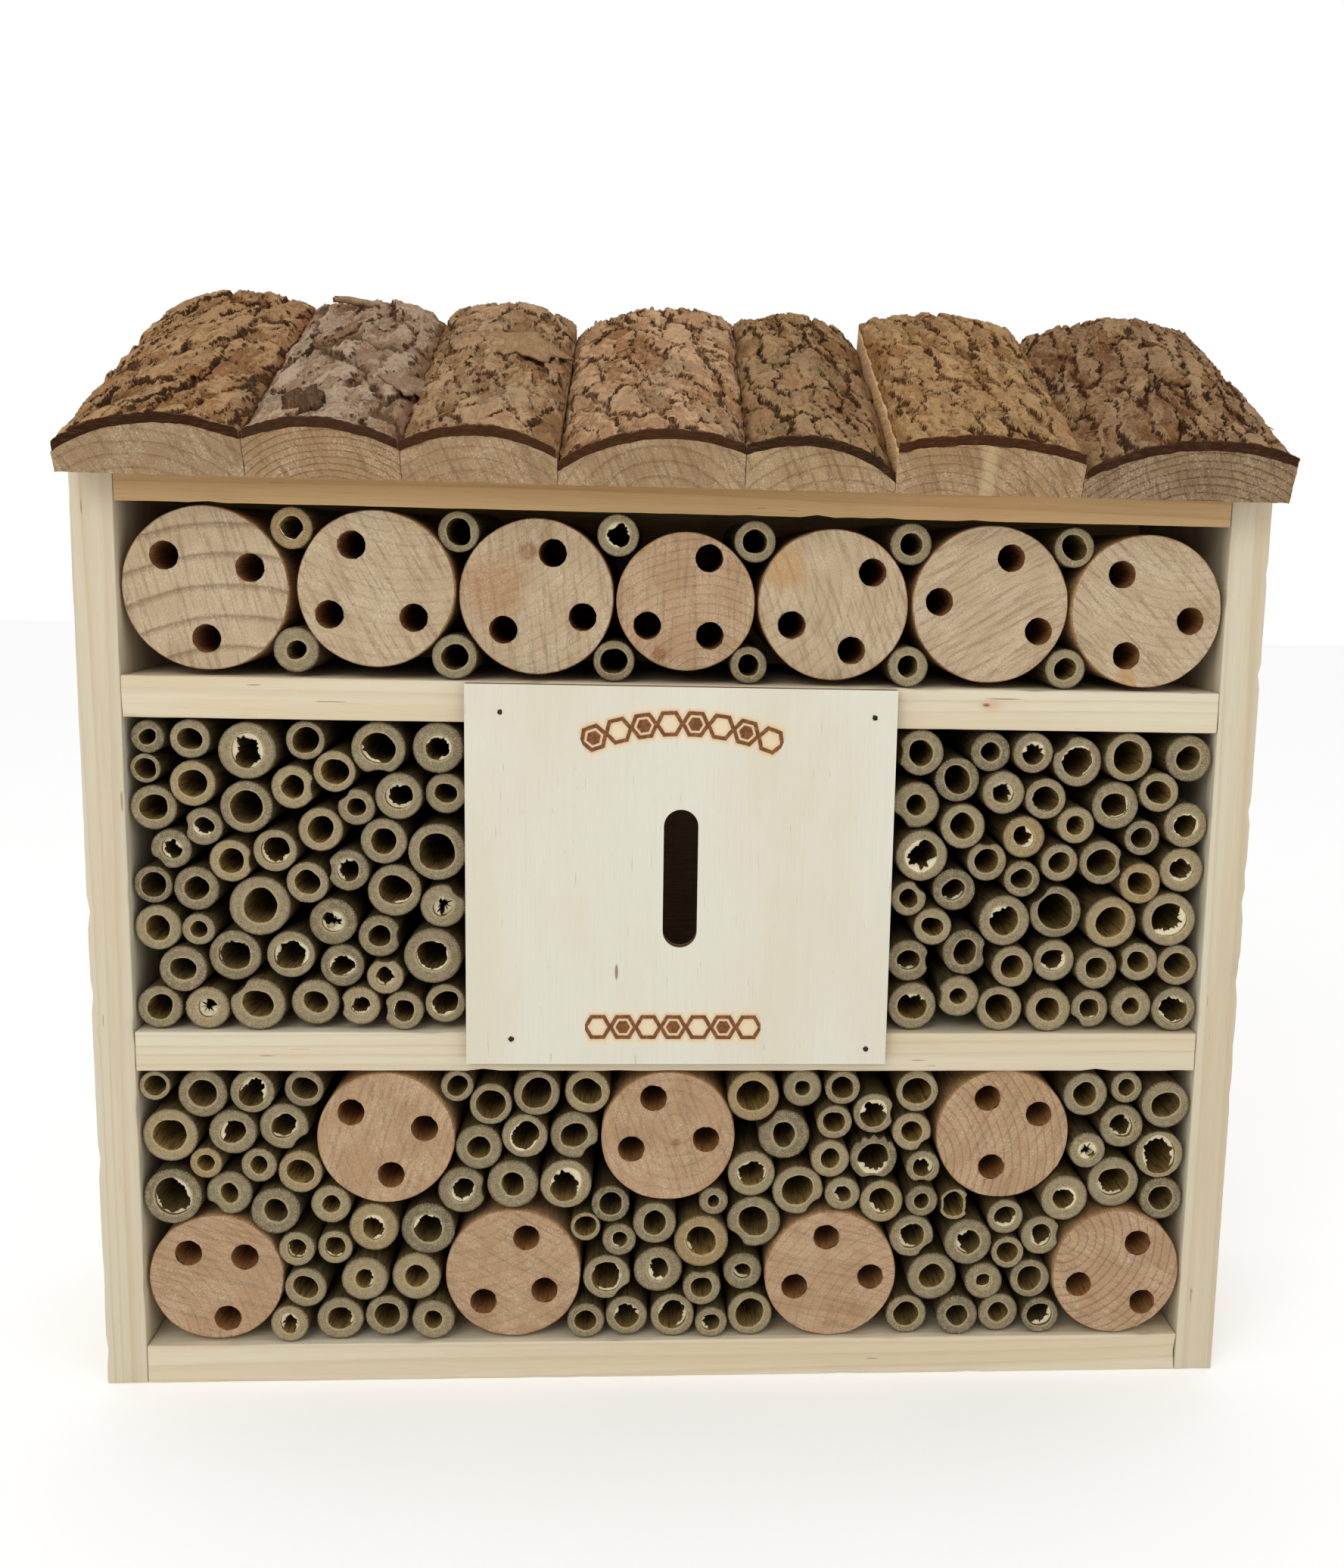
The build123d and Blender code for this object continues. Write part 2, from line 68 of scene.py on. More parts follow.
def solids(node):
    """The vertices of each separate solid in a CAD node, in mm, from left to right."""
    points, index = node_points(node)
    index = index.reshape(-1)
    owner = list(range(len(points)))

    def top(i):
        while owner[i] != i:
            owner[i] = owner[owner[i]]
            i = owner[i]
        return i

    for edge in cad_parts[node].data.edges:
        a, b = (top(index[i]) for i in edge.vertices)
        owner[a] = b
    groups = {}
    for i in range(len(points)):
        groups.setdefault(top(i), []).append(i)
    parts = [points[group] for group in groups.values()]
    return sorted(parts, key=lambda part: (part[:, 0].mean(), part[:, 2].mean()))


deck_points = node_points("roof_deck")[0]
deck_front = deck_points[deck_points[:, 1] < deck_points[:, 1].min() + 0.01]
deck_back = deck_points[deck_points[:, 1] > deck_points[:, 1].max() - 0.01]
FRONT = deck_front[0, 1]                     # the boards' front edges
FRAME_BACK = deck_back[0, 1]
ROOF_Z = deck_front[:, 2].max()              # front edge of the deck's top
SLOPE = math.atan2(deck_back[:, 2].max() - ROOF_Z, FRAME_BACK - FRONT)
ROOF_FRONT = np.array([0, FRONT, ROOF_Z])
UPHILL = np.array([0, math.cos(SLOPE), math.sin(SLOPE)])
ROOF_UP = np.array([0, -math.sin(SLOPE), math.cos(SLOPE)])


def to_roof(points):
    """Row points to roof ones: x, distance up the slope, height above the deck."""
    from_edge = points - ROOF_FRONT
    return np.stack([points[:, 0], from_edge @ UPHILL, from_edge @ ROOF_UP], axis=1)


def from_roof(points):
    return ROOF_FRONT + points @ np.stack([(1, 0, 0), UPHILL, ROOF_UP])


# ---- noise on arrays ----
def lattice(ix, iy, seed):
    """A repeatable random number from 0 to 1 at each whole-number point."""
    n = ix.astype(np.int64) * 374761393 + iy.astype(np.int64) * 668265263 + seed * 974634777
    n = n & 0xFFFFFFFF
    n = ((n ^ (n >> 13)) * 1274126177) & 0xFFFFFFFF
    return (n ^ (n >> 16)) / 4294967296.0


def noise2(x, y, seed):
    """Smooth noise from -1 to 1, with one bump per unit."""
    ix, iy = np.floor(x), np.floor(y)
    fx, fy = x - ix, y - iy
    fx, fy = (f * f * f * (f * (f * 6 - 15) + 10) for f in (fx, fy))
    low = lattice(ix, iy, seed) * (1 - fx) + lattice(ix + 1, iy, seed) * fx
    high = lattice(ix, iy + 1, seed) * (1 - fx) + lattice(ix + 1, iy + 1, seed) * fx
    return (low * (1 - fy) + high * fy) * 2 - 1


def fbm(x, y, seed, octaves=4, gain=0.5):
    """Noise with finer and finer detail, about -1 to 1."""
    total, size = 0, 1
    for octave in range(octaves):
        total = total + size * noise2(x * 2 ** octave, y * 2 ** octave, seed + 17 * octave)
        size *= gain
    return total * 0.8


def cells(x, y, seed):
    """Voronoi cells: distance to the edge between two cells, and a random number per cell."""
    ix, iy = np.floor(x), np.floor(y)
    first, second = np.full(x.shape, 9.0), np.full(x.shape, 9.0)
    label = np.zeros(x.shape)
    for ox in (-1, 0, 1):
        for oy in (-1, 0, 1):
            cx, cy = ix + ox, iy + oy
            far = np.hypot(x - cx - lattice(cx, cy, seed), y - cy - lattice(cx, cy, seed + 1))
            closer = far < first
            second = np.where(closer, first, np.minimum(second, far))
            first = np.where(closer, far, first)
            label = np.where(closer, lattice(cx, cy, seed + 2), label)
    return second - first, label


def smoothstep(low, high, x):
    t = np.clip((x - low) / (high - low), 0, 1)
    return t * t * (3 - 2 * t)


def stepped(levels, soft, base):
    """Terraces: whole levels over base, with a short slope of that width between them."""
    return np.floor(levels) + smoothstep(0.0, soft, levels % 1) - base


def make_object(name, stands_for, points, faces, materials, slots=None, values=None):
    """A smooth mesh object from points in mm, in place of a CAD node. values are numbers per point
    that its materials read."""
    mesh = bpy.data.meshes.new(name)
    mesh.from_pydata((np.asarray(points) * MM).tolist(), [], [list(map(int, f)) for f in faces])
    for material in materials:
        mesh.materials.append(material)
    if slots is not None:
        mesh.polygons.foreach_set("material_index", np.asarray(slots, dtype=np.int32))
    for key, numbers in (values or {}).items():
        layer = mesh.attributes.new(key, "FLOAT", "POINT")
        layer.data.foreach_set("value", np.asarray(numbers, dtype=np.float32))
    mesh.polygons.foreach_set("use_smooth", [True] * len(mesh.polygons))
    mesh.update()
    piece = bpy.data.objects.new(name, mesh)
    bpy.context.collection.objects.link(piece)
    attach(piece, "root")
    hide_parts(stands_for)


class Build:
    """Collects points, faces, material slots and values, so that one object can have many parts."""

    def __init__(self):
        self.points, self.faces, self.slots, self.values = [], [], [], {}
        self.count = 0

    def add(self, points, faces, slot=0, **values):
        points = np.asarray(points, dtype=float)
        self.faces += [[i + self.count for i in face] for face in faces]
        self.slots += list(slot) if hasattr(slot, "__len__") else [slot] * len(faces)
        for key in set(values) | set(self.values):
            have = self.values.setdefault(key, [np.zeros(self.count)])
            have.append(np.broadcast_to(values.get(key, 0.0), len(points)).astype(float))
        self.points.append(points)
        self.count += len(points)

    def tube(self, rows, slot=0, flip=False, cap=False, **values):
        """Adds a skin through closed rows of points, and may close the last row with one face."""
        faces = grid_faces(len(rows), len(rows[0]), wrap=True, flip=flip)
        self.add(np.concatenate(rows), faces, slot, **values)
        if cap:
            end = list(range(len(rows[-1])))
            self.add(rows[-1], [end[::-1] if flip else end], slot)

    def object(self, name, stands_for, materials):
        values = {key: np.concatenate(parts) for key, parts in self.values.items()}
        points = np.concatenate(self.points)
        make_object(name, stands_for, points, self.faces, materials, self.slots, values)


def grid_faces(rows, columns, wrap=False, flip=False):
    """Quads over a grid of rows by columns points, closed round each row if wrap is true."""
    faces = []
    for r in range(rows - 1):
        for c in range(columns if wrap else columns - 1):
            d = (c + 1) % columns
            face = [r * columns + c, r * columns + d, (r + 1) * columns + d, (r + 1) * columns + c]
            faces.append(face[::-1] if flip else face)
    return faces


def bearings(count):
    """Angles all the way round, in even steps."""
    return np.linspace(0, TURN, count, endpoint=False)


def ring(count, radius, centre=(0, 0)):
    """Points round a circle. radius may be an array."""
    angle = bearings(count)
    return np.stack([centre[0] + radius * np.cos(angle), centre[1] + radius * np.sin(angle)], 1)


def upright(flat, y):
    """Points in x and z, stood up at y, which may be an array."""
    return np.stack([flat[:, 0], np.broadcast_to(y, len(flat)), flat[:, 1]], 1)


def filled_face(loops, room, spacing, seed):
    """Triangles inside the loops. room(x, z) is the distance to the nearest edge, above 0 inside.

    The first points are those of the loops, in order, so that walls can share them."""
    rng = np.random.default_rng(seed)
    edge = np.concatenate(loops)
    low, high = edge.min(0), edge.max(0)
    xs = np.arange(low[0], high[0], spacing)
    zs = np.arange(low[1], high[1], spacing * 0.866)
    gx, gz = np.meshgrid(xs, zs)
    gx = gx + (np.arange(len(zs)) % 2)[:, None] * spacing / 2
    inner = np.stack([gx.ravel(), gz.ravel()], 1)
    inner = inner + rng.uniform(-0.28, 0.28, inner.shape) * spacing
    inner = inner[room(inner[:, 0], inner[:, 1]) > spacing * 0.55]
    links, start = [], 0
    for loop in loops:
        links += [(start + i, start + (i + 1) % len(loop)) for i in range(len(loop))]
        start += len(loop)
    points = np.concatenate([edge, inner])
    out = delaunay_2d_cdt([Vector(p) for p in points.tolist()], links, [], 0, 1e-7)
    flat, tris = np.array([tuple(p) for p in out[0]]), np.array(out[2])
    middle = flat[tris].mean(1)
    return flat, tris[room(middle[:, 0], middle[:, 1]) > 0]


def rounded_box(low, high, radius, step):
    """A closed box with rounded edges whose faces are grids with about that step."""
    def stops(a, b):
        ends = [0, 0.35 * radius, radius]
        count = max(2, int((b - a - 2 * radius) / step))
        middle = np.linspace(a + radius, b - radius, count + 1)[1:-1]
        return np.concatenate([[a + e for e in ends], middle, [b - e for e in ends[::-1]]])

    axes = [stops(low[i], high[i]) for i in range(3)]
    sides = Build()
    for axis in range(3):
        u, v = (axis + 1) % 3, (axis + 2) % 3
        for end in (0, -1):
            gu, gv = np.meshgrid(axes[u], axes[v])
            sheet = np.empty((gu.size, 3))
            sheet[:, u], sheet[:, v] = gu.ravel(), gv.ravel()
            sheet[:, axis] = axes[axis][end]
            sides.add(sheet, grid_faces(len(axes[v]), len(axes[u]), flip=end == 0))
    points = np.concatenate(sides.points)
    core = np.clip(points, np.array(low) + radius, np.array(high) - radius)
    away = points - core
    length = np.linalg.norm(away, axis=1, keepdims=True)
    points = core + away / np.maximum(length, 1e-9) * np.minimum(length, radius)
    merged, index = np.unique(np.round(points, 4), axis=0, return_inverse=True)
    index = index.reshape(-1)
    return merged, [[index[i] for i in face] for face in sides.faces]


# ---- shader helpers ----
class Wire:
    """A shader node's output, which takes part in sums like a number."""

    def __init__(self, tree, socket):
        self.tree, self.socket = tree, socket

    def calc(self, operation, *others):
        return add(self.tree, "Math", dict(enumerate((self, *others))), operation=operation)

    def step(self, low, high):
        """0 where this is under low, 1 over high, smooth between."""
        ends = {0: self, 1: low, 2: high}
        return add(self.tree, "MapRange", ends, interpolation_type="SMOOTHSTEP")

    def __add__(self, other):
        return self.calc("ADD", other)

    def __sub__(self, other):
        return self.calc("SUBTRACT", other)

    def __rsub__(self, other):
        return add(self.tree, "Math", {0: other, 1: self}, operation="SUBTRACT")

    def __mul__(self, other):
        return self.calc("MULTIPLY", other)

    def __truediv__(self, other):
        return self.calc("DIVIDE", other)

    def __abs__(self):
        return self.calc("ABSOLUTE")


def feed(tree, node, inputs):
    """Sets a node's inputs to numbers and colours, or links other nodes' outputs to them."""
    for key, value in inputs.items():
        if isinstance(value, Wire):
            tree.links.new(value.socket, node.inputs[key])
        else:
            node.inputs[key].default_value = value


def add(tree, kind, inputs, out=0, **settings):
    """Adds a shader node and gives one of its outputs."""
    node = tree.nodes.new("ShaderNode" + kind)
    for key, value in settings.items():
        setattr(node, key, value)
    feed(tree, node, inputs)
    return Wire(tree, node.outputs[out])


def mix(share, a, b):
    """Colour a where share is 0, b where it is 1."""
    return add(share.tree, "Mix", {0: share, 6: a, 7: b}, out=2, data_type="RGBA")


def ramp(share, stops):
    """A colour ramp. Each stop is (position, colour or grey)."""
    out = add(share.tree, "ValToRGB", {0: share})
    elements = out.socket.node.color_ramp.elements
    while len(elements) < len(stops):
        elements.new(0.5)
    for element, (position, colour) in zip(elements, stops):
        element.position = position
        element.color = colour if hasattr(colour, "__len__") else (colour, colour, colour, 1)
    return out


def fade(far, inner, outer):
    """1 where far is under inner, 0 over outer."""
    return 1 - far.step(inner, outer)


def hypot(a, b):
    return (a * a + b * b).calc("SQRT")


def oval(axes, middle, half=(1, 1)):
    """Distance from a point in x and z, 1 on the oval of those half sizes round it."""
    return hypot((axes[0] - middle[0]) / half[0], (axes[2] - middle[1]) / half[1])


def rgb(r, g, b, by=1.0):
    """A colour from the 0 to 255 numbers that a screen shows, times by, one number or three."""
    shown = np.array((r, g, b)) * by / 255
    return (*(((shown + 0.055) / 1.055) ** 2.4).tolist(), 1)


def place(tree, scale=(1, 1, 1), shift=(0, 0, 0)):
    """The row position in mm, scaled and shifted."""
    position = add(tree, "TexCoord", {}, out=3)
    return add(tree, "Mapping", {0: position, 1: shift, 3: [size / MM for size in scale]})


def axes_of(vector):
    """The x, y and z of a vector."""
    out = add(vector.tree, "SeparateXYZ", {0: vector})
    return [Wire(out.tree, socket) for socket in out.socket.node.outputs]


def speckle(vector, scale=1.0, detail=4.0, rough=0.6):
    inputs = {"Vector": vector, "Scale": scale, "Detail": detail, "Roughness": rough}
    return add(vector.tree, "TexNoise", inputs)


def attribute(tree, name):
    return add(tree, "Attribute", {}, out=2, attribute_name=name)


def surface(name, paint, roughness=0.75, metallic=0.0, specular=0.35):
    """A material. paint(tree) gives its colour, its bump's height, how deep the bump is in mm,
    where 0 is none, and sometimes its own roughness."""
    material = bpy.data.materials.new(name)
    material.use_nodes = True
    tree = material.node_tree
    colour, height, depth, *rough = paint(tree)
    inputs = {"Base Color": colour, "Roughness": rough[0] if rough else roughness}
    if depth:
        bump = {"Height": height, "Strength": 1.0, "Distance": depth * MM}
        inputs["Normal"] = add(tree, "Bump", bump)
    inputs.update({"Metallic": metallic, "Specular IOR Level": specular})
    feed(tree, tree.nodes["Principled BSDF"], inputs)
    return material


# ---- wood ----
GRAIN = {"x": (1, 2, 0), "z": (0, 1, 2)}     # two cross axes, then the grain's
PALE_PINE = ((219, 209, 184), (211, 195, 163), (188, 161, 119))
# The roof deck's pine is painted darker and browner: painted shade and warm bounce light from under
# the roof slabs.
PINE_IN_PAINTED_SHADE = ((209, 175, 124), (199, 158, 103), (168, 123, 73))
RING_WIDTH = 4.3


def drawn_out(along, share):
    """A texture's scale by axis, stretched along the grain."""
    return np.where(np.arange(3) == along, share, 1.0)


def pine(name, grain, seed, pith, tint=1.0, knots=(), colours=PALE_PINE):
    """Planed pine. pith is the tree's middle in the board's two cross axes, knots are
    (x, z, radius) on the face seen from the front."""
    across, down, along = GRAIN[grain]
    stretch = drawn_out(along, 0.035)

    def paint(tree):
        drift = place(tree, stretch * 0.04, (seed * 3.1, seed * 1.7, seed * 2.3))
        bend = axes_of(add(tree, "TexNoise", {"Vector": drift, "Scale": 1.0, "Detail": 2.0}, out=1))
        axes = axes_of(place(tree))
        a = axes[across] - pith[0] + bend[0] * 26
        b = axes[down] - pith[1] + bend[1] * 26
        turn = (hypot(a, b) / RING_WIDTH).calc("FRACT")
        late = ramp(turn, [(0.0, 0.0), (0.55, 0.12), (0.86, 1.0), (0.93, 0.25), (1.0, 0.0)])
        fine = speckle(place(tree, stretch * 1.6, (seed, 0, seed)), 1.0, 5.0, 0.65)
        broad = speckle(place(tree, stretch * 0.09, (0, seed, 0)), 1.0, 3.0)
        fleck = speckle(place(tree, stretch * 0.8, (seed, seed, 7)), 1.0, 2.0)
        short = np.where(stretch < 1, stretch * 1.7, 0.9)
        tick = speckle(place(tree, short, (7, seed, 3)), 1.0, 1.0)
        pale, warm, deep = (rgb(*shade, by=tint) for shade in colours)
        colour = mix(broad.step(0.35, 0.7), pale, warm)
        colour = mix(late * 0.3, colour, deep)
        colour = mix(fine.step(0.45, 0.8) * 0.22, colour, deep)
        colour = mix(fleck.step(0.69, 0.76) * 0.3, colour, rgb(168, 132, 88))
        colour = mix(tick.step(0.77, 0.8) * 0.7, colour, rgb(142, 104, 66))
        for x, z, size in knots:
            halo = oval(axes, (x + size, z), (size * 1.9, size)) + (fine - 0.5) * 1.2
            colour = mix(fade(halo, 0.3, 2.2) * 0.5, colour, rgb(188, 142, 104))
            eye = oval(axes, (x, z), (size, size * 0.5)) + (fine - 0.5) * 0.8
            colour = mix(fade(eye, 0.4, 1.2) * 0.85, colour, rgb(112, 76, 46))
            tail = oval(axes, (x + 4.2 * size, z + 1.5 * size), (4.8 * size, 0.22 * size))
            colour = mix(fade(tail, 0.4, 1.2) * 0.7, colour, rgb(134, 100, 66))
        return colour, late * 0.5 + fine, 0.12

    return surface(name, paint, roughness=0.68)


def ply_edge(name, low, high, light, dark):
    """The cut edge of plywood between two depths in y, with its middle ply darker."""
    stops = [(0.0, light), (0.3, light), (0.36, dark), (0.64, dark), (0.7, light), (1.0, light)]

    def paint(tree):
        depth = (axes_of(place(tree))[1] - low) / (high - low)
        grain = speckle(place(tree, (0.6, 3.0, 0.6)), 1.0, 5.0, 0.7)
        return mix(grain * 0.6, ramp(depth, stops), dark), grain, 0.15

    return surface(name, paint, roughness=0.85)


def end_grain(name, seed, shades, saw_angle, ring_strength, stains=(), heart=None):
    """Sawn end grain in four shades: its base, light and dark, and the rings' one. The growth
    rings follow the value 'rings' stored on the mesh."""
    base, light, dark, ring_dark = shades
    pale = [(a + b) / 2 for a, b in zip(light, (1, 0.92, 0.75, 1))]

    def paint(tree):
        turn = attribute(tree, "rings").calc("FRACT")
        line = ramp(turn, [(0.0, 0.0), (0.7, 0.06), (0.9, 1.0), (0.97, 0.2), (1.0, 0.0)])
        flat = place(tree, (1, 0, 1), (seed, seed, 0))
        fibre = speckle(flat, 1.8, 4.0, 0.75)
        fuzz = speckle(flat, 2.8, 2.0, 0.8)
        patch = speckle(flat, 0.11, 3.0, 0.55)
        turned = add(tree, "Mapping", {0: flat, 2: (0, saw_angle, 0)})
        saw = speckle(add(tree, "Mapping", {0: turned, 3: (0.75, 1, 0.06)}))
        colour = mix(patch.step(0.35, 0.75) * 0.45, base, light)
        colour = mix(saw.step(0.46, 0.66) * 0.6, colour, dark)
        colour = mix(line * ring_strength, colour, ring_dark)
        tuft = fibre.step(0.5, 0.7) * (patch.step(0.36, 0.62) * 0.55 + 0.3)
        colour = mix(tuft * 0.9, colour, pale)
        colour = mix(fuzz.step(0.54, 0.7) * 0.6, colour, dark)
        axes = axes_of(place(tree))
        for x, z, size, tone in stains:
            far = oval(axes, (x, z)) + patch * (size * 0.6)
            mottled = fibre.step(0.35, 0.6) * -0.4 + 0.85
            colour = mix(fade(far, size * 0.7, size * 1.5) * mottled, colour, tone)
        if heart:
            far = abs(axes[0] - heart[0]) + (patch - 0.5) * 3
            colour = mix(fade(far, 0.8, 3.0) * 0.6, colour, heart[1])
        return colour, fibre * 0.9 + fuzz * 0.5 + line * -0.4, 0.8

    return surface(name, paint, roughness=0.88, specular=0.2)


def streaky(name, seed, light, dark, along, depth, contrast=0.7):
    """Long-grain wood, streaked along one axis."""
    stretch = drawn_out(along, 0.07)

    def paint(tree):
        fine = speckle(place(tree, stretch * 1.5, (seed, 0, 0)), 1.0, 6.0, 0.7)
        broad = speckle(place(tree, stretch * 0.2, (0, seed, 0)), 1.0, 3.0)
        colour = mix(fine.step(0.3, 0.7), light, dark)
        return mix(broad * (1 - contrast), colour, light), fine, depth

    return surface(name, paint, roughness=0.85, specular=0.2)


# ---- camera, light and floor ----
CAMERA_PLACE = (-7.6, FRONT - 449.5, 254.1)
CAMERA_PITCH, CAMERA_YAW, CAMERA_ROLL = (math.radians(a) for a in (8.81, -4.0, 1.33))
FOCAL = 35.89                 # mm, on a 36 mm frame along the picture's long side
SHIFT = (-0.0583, 0.0022)


def camera():
    data = bpy.data.cameras.new("camera")
    data.sensor_fit = "VERTICAL"
    data.sensor_height = 36
    data.lens = FOCAL
    data.shift_x, data.shift_y = SHIFT
    data.clip_start, data.clip_end = 0.01, 50
    level = Matrix(((1, 0, 0), (0, 0, -1), (0, 1, 0)))
    axes = Matrix.Rotation(CAMERA_ROLL, 3, "Z") @ Matrix.Rotation(CAMERA_PITCH, 3, "X")
    axes = axes @ Matrix.Rotation(CAMERA_YAW, 3, "Y") @ level
    turned = Matrix((axes[0], -axes[1], -axes[2])).transposed()
    piece = bpy.data.objects.new("camera", data)
    piece.matrix_world = Matrix.Translation(Vector(CAMERA_PLACE) * MM) @ turned.to_4x4()
    bpy.context.collection.objects.link(piece)
    bpy.context.scene.camera = piece


LIGHTS_AIM = Vector((0, 0, 0.17))          # metres, like the lights' own places


def softbox(name, place_m, size, power, colour=(1, 1, 1)):
    data = bpy.data.lights.new(name, "AREA")
    data.shape = "RECTANGLE"
    data.size, data.size_y = size
    data.energy = power
    data.color = colour
    piece = bpy.data.objects.new(name, data)
    piece.location = place_m
    piece.rotation_euler = (LIGHTS_AIM - Vector(place_m)).to_track_quat("-Z", "Y").to_euler()
    bpy.context.collection.objects.link(piece)


SKY = 0.84                    # how bright the white surround is, next to the white that is seen
FLOOR_HALF = 4.0              # metres
FLOOR_GLOW = 0.16


def studio():
    """A white surround, a soft key light from the upper left, and a fill light."""
    scene = bpy.context.scene
    scene.view_settings.view_transform = "Standard"
    world = bpy.data.worlds.new("surround")
    scene.world = world
    world.use_nodes = True
    tree = world.node_tree
    level = add(tree, "LightPath", {}) * (1 - SKY) + SKY
    feed(tree, tree.nodes["Background"], {"Strength": level, "Color": (1, 1, 1, 1)})
    softbox("key", (-0.55, -1.25, 1.05), (0.9, 0.7), 6.5, (1, 0.985, 0.96))
    softbox("fill", (1.1, -1.1, 0.5), (1.0, 1.0), 1.2)


def pale_floor():
    data = bpy.data.meshes.new("floor")
    corners = [(x * FLOOR_HALF, y * FLOOR_HALF, 0) for x, y in ((-1, -1), (1, -1), (1, 1), (-1, 1))]
    data.from_pydata(corners, [], [(0, 1, 2, 3)])
    floor = bpy.data.objects.new("floor", data)
    bpy.context.collection.objects.link(floor)

    def paint(tree):
        fine = speckle(place(tree), 0.02, 3.0)
        return mix(fine, (0.93, 0.93, 0.93, 1), (0.95, 0.95, 0.95, 1)), fine, 0

    floor_paint = surface("floor_paint", paint, roughness=0.9, specular=0.1)
    shader = floor_paint.node_tree.nodes["Principled BSDF"]
    shader.inputs["Emission Color"].default_value = (1, 1, 1, 1)
    shader.inputs["Emission Strength"].default_value = FLOOR_GLOW
    data.materials.append(floor_paint)


camera()
studio()
pale_floor()


# ---- boards ----
EDGE = 0.5                    # how far a board's edges are eased
BOARD_STEP = 5.0


def roof_line(y):
    """Height of the deck's top at y."""
    return ROOF_Z + (y - FRONT) * math.tan(SLOPE)


def roughen(points, low, high, seed, depth=0.12):
    """Small hollows and nicks, always inwards, so that a board stays in its box."""
    middle = (low + high) / 2
    out = np.sign(points - middle)
    near = np.abs(points - middle) > (high - low) / 2 - EDGE * 1.2
    rough = fbm(points[:, 0] / 9 + points[:, 1] / 7, points[:, 2] / 9 + points[:, 1] / 11, seed)
    rough = np.clip(0.5 + 0.5 * rough, 0, 1)
    nick = smoothstep(0.45, 0.9, fbm(points.sum(1) / 5, points[:, 2] / 6, seed + 5, 3))
    corner = near.sum(1) >= 2
    push = depth * rough + corner * nick * 0.5
    return points - out * near * push[:, None]


def board(name, seed, materials, slot_of=None, shape=None, box=None):
    """A board in place of its CAD node. shape bends the finished box, slot_of picks materials."""
    low, high = box or mm_box(name)
    points, faces = rounded_box(low, high, EDGE, BOARD_STEP)
    points = roughen(points, low, high, seed)
    slots = None
    if slot_of:
        slots = slot_of(np.array([points[face].mean(0) for face in faces]), low, high)
    if shape:
        points = shape(points, low, high)
    make_object(name + "_wood", name, points, faces, materials, slots)


def sloped_top(points, low, high):
    """Pulls the top of an upright board down to the roof's line."""
    middle = high[2] / 2
    share = np.clip((points[:, 2] - middle) / (high[2] - middle), 0, None)
    points = points.copy()
    points[:, 2] -= share * (high[2] - roof_line(points[:, 1]))
    return points


def sloped(points, low, high):
    """Shears a level board up to the roof's slope."""
    points = points.copy()
    points[:, 2] += (points[:, 1] - low[1]) * math.tan(SLOPE)
    return points


def frame_boards():
    board("base_board", 1, [pine("pine_base", "x", 1, (30, -90), 0.96)])
    board("lower_shelf", 2, [pine("pine_lower", "x", 2, (-20, 20), 0.95)])
    board("upper_shelf", 3, [pine("pine_upper", "x", 3, (30, 150), 0.96, [(88.6, 209.4, 1.25)])])
    board("left_side_board", 4, [pine("pine_left", "z", 4, (-100, -20), 0.92)], shape=sloped_top)
    board("right_side_board", 5, [pine("pine_right", "z", 5, (260, 10), 0.92)], shape=sloped_top)
    board("left_partition", 6, [pine("pine_left_wall", "z", 6, (-40, 60))])
    board("right_partition", 7, [pine("pine_right_wall", "z", 7, (40, 60))])
    low, high = mm_box("roof_deck")
    level_box = (low, np.array([high[0], high[1], ROOF_Z]))
    # Painted shade: the deck's pine is darker and browner for the shade and warm bounce light under
    # the overhanging slabs.
    wood = pine("pine_deck", "x", 8, (-30, 330), 0.9, colours=PINE_IN_PAINTED_SHADE)
    board("roof_deck", 8, [wood], shape=sloped, box=level_box)


def back_of_box():
    low, high = mm_box("back_panel")
    face = streaky("back_ply", 3, rgb(214, 190, 148), rgb(188, 156, 110), 0, 0.12, 0.6)
    edge = ply_edge("back_ply_edge", low[1], high[1], rgb(205, 178, 134), rgb(150, 114, 72))

    def faces_or_edges(middles, low, high):
        return ((middles[:, 1] > low[1] + 0.3) & (middles[:, 1] < high[1] - 0.3)).astype(int)

    board("back_panel", 9, [face, edge], faces_or_edges, sloped_top)


frame_boards()
back_of_box()


# ---- front plate ----
SCORCH = rgb(96, 54, 22)
ARCH_MIDDLE, ARCH_RADIUS = 129.0, 74.0     # the arched row's circle: its middle's z, and its radius
ROW_MIDDLE = (-1.5, 112.8)                 # middle of the straight row in x and z
CELL_PITCH, CELL_SIZE, STROKE = 7.4, 3.1, 0.55
FAR_OFF = 30
PIN = 0.8                                  # radius of the hollow over each brad


def hexagon_row(along, up, count, filled):
    """Distance in mm from the nearest burnt line of a row of hexagons, and from the row itself.

    Every second cell has a dot in its middle, and filled says which ones."""
    shifted = along / CELL_PITCH + count / 2
    cell = shifted.calc("FLOOR")
    across = abs((shifted - cell - 0.5) * CELL_PITCH)
    inside = shifted.calc("GREATER_THAN", 0.0) * shifted.calc("LESS_THAN", float(count))
    hexagon = (across * 0.866 + abs(up) * 0.5).calc("MAXIMUM", abs(up))
    line = abs(hexagon - CELL_SIZE)
    empty = (cell + filled).calc("MODULO", 2.0)
    dot = (hexagon - CELL_SIZE * 0.42).calc("MAXIMUM", 0.0) + empty * 20
    outside = (1 - inside) * FAR_OFF
    near = (hexagon - CELL_SIZE).calc("MAXIMUM", 0.0)
    return line.calc("MINIMUM", dot) + outside, near + outside


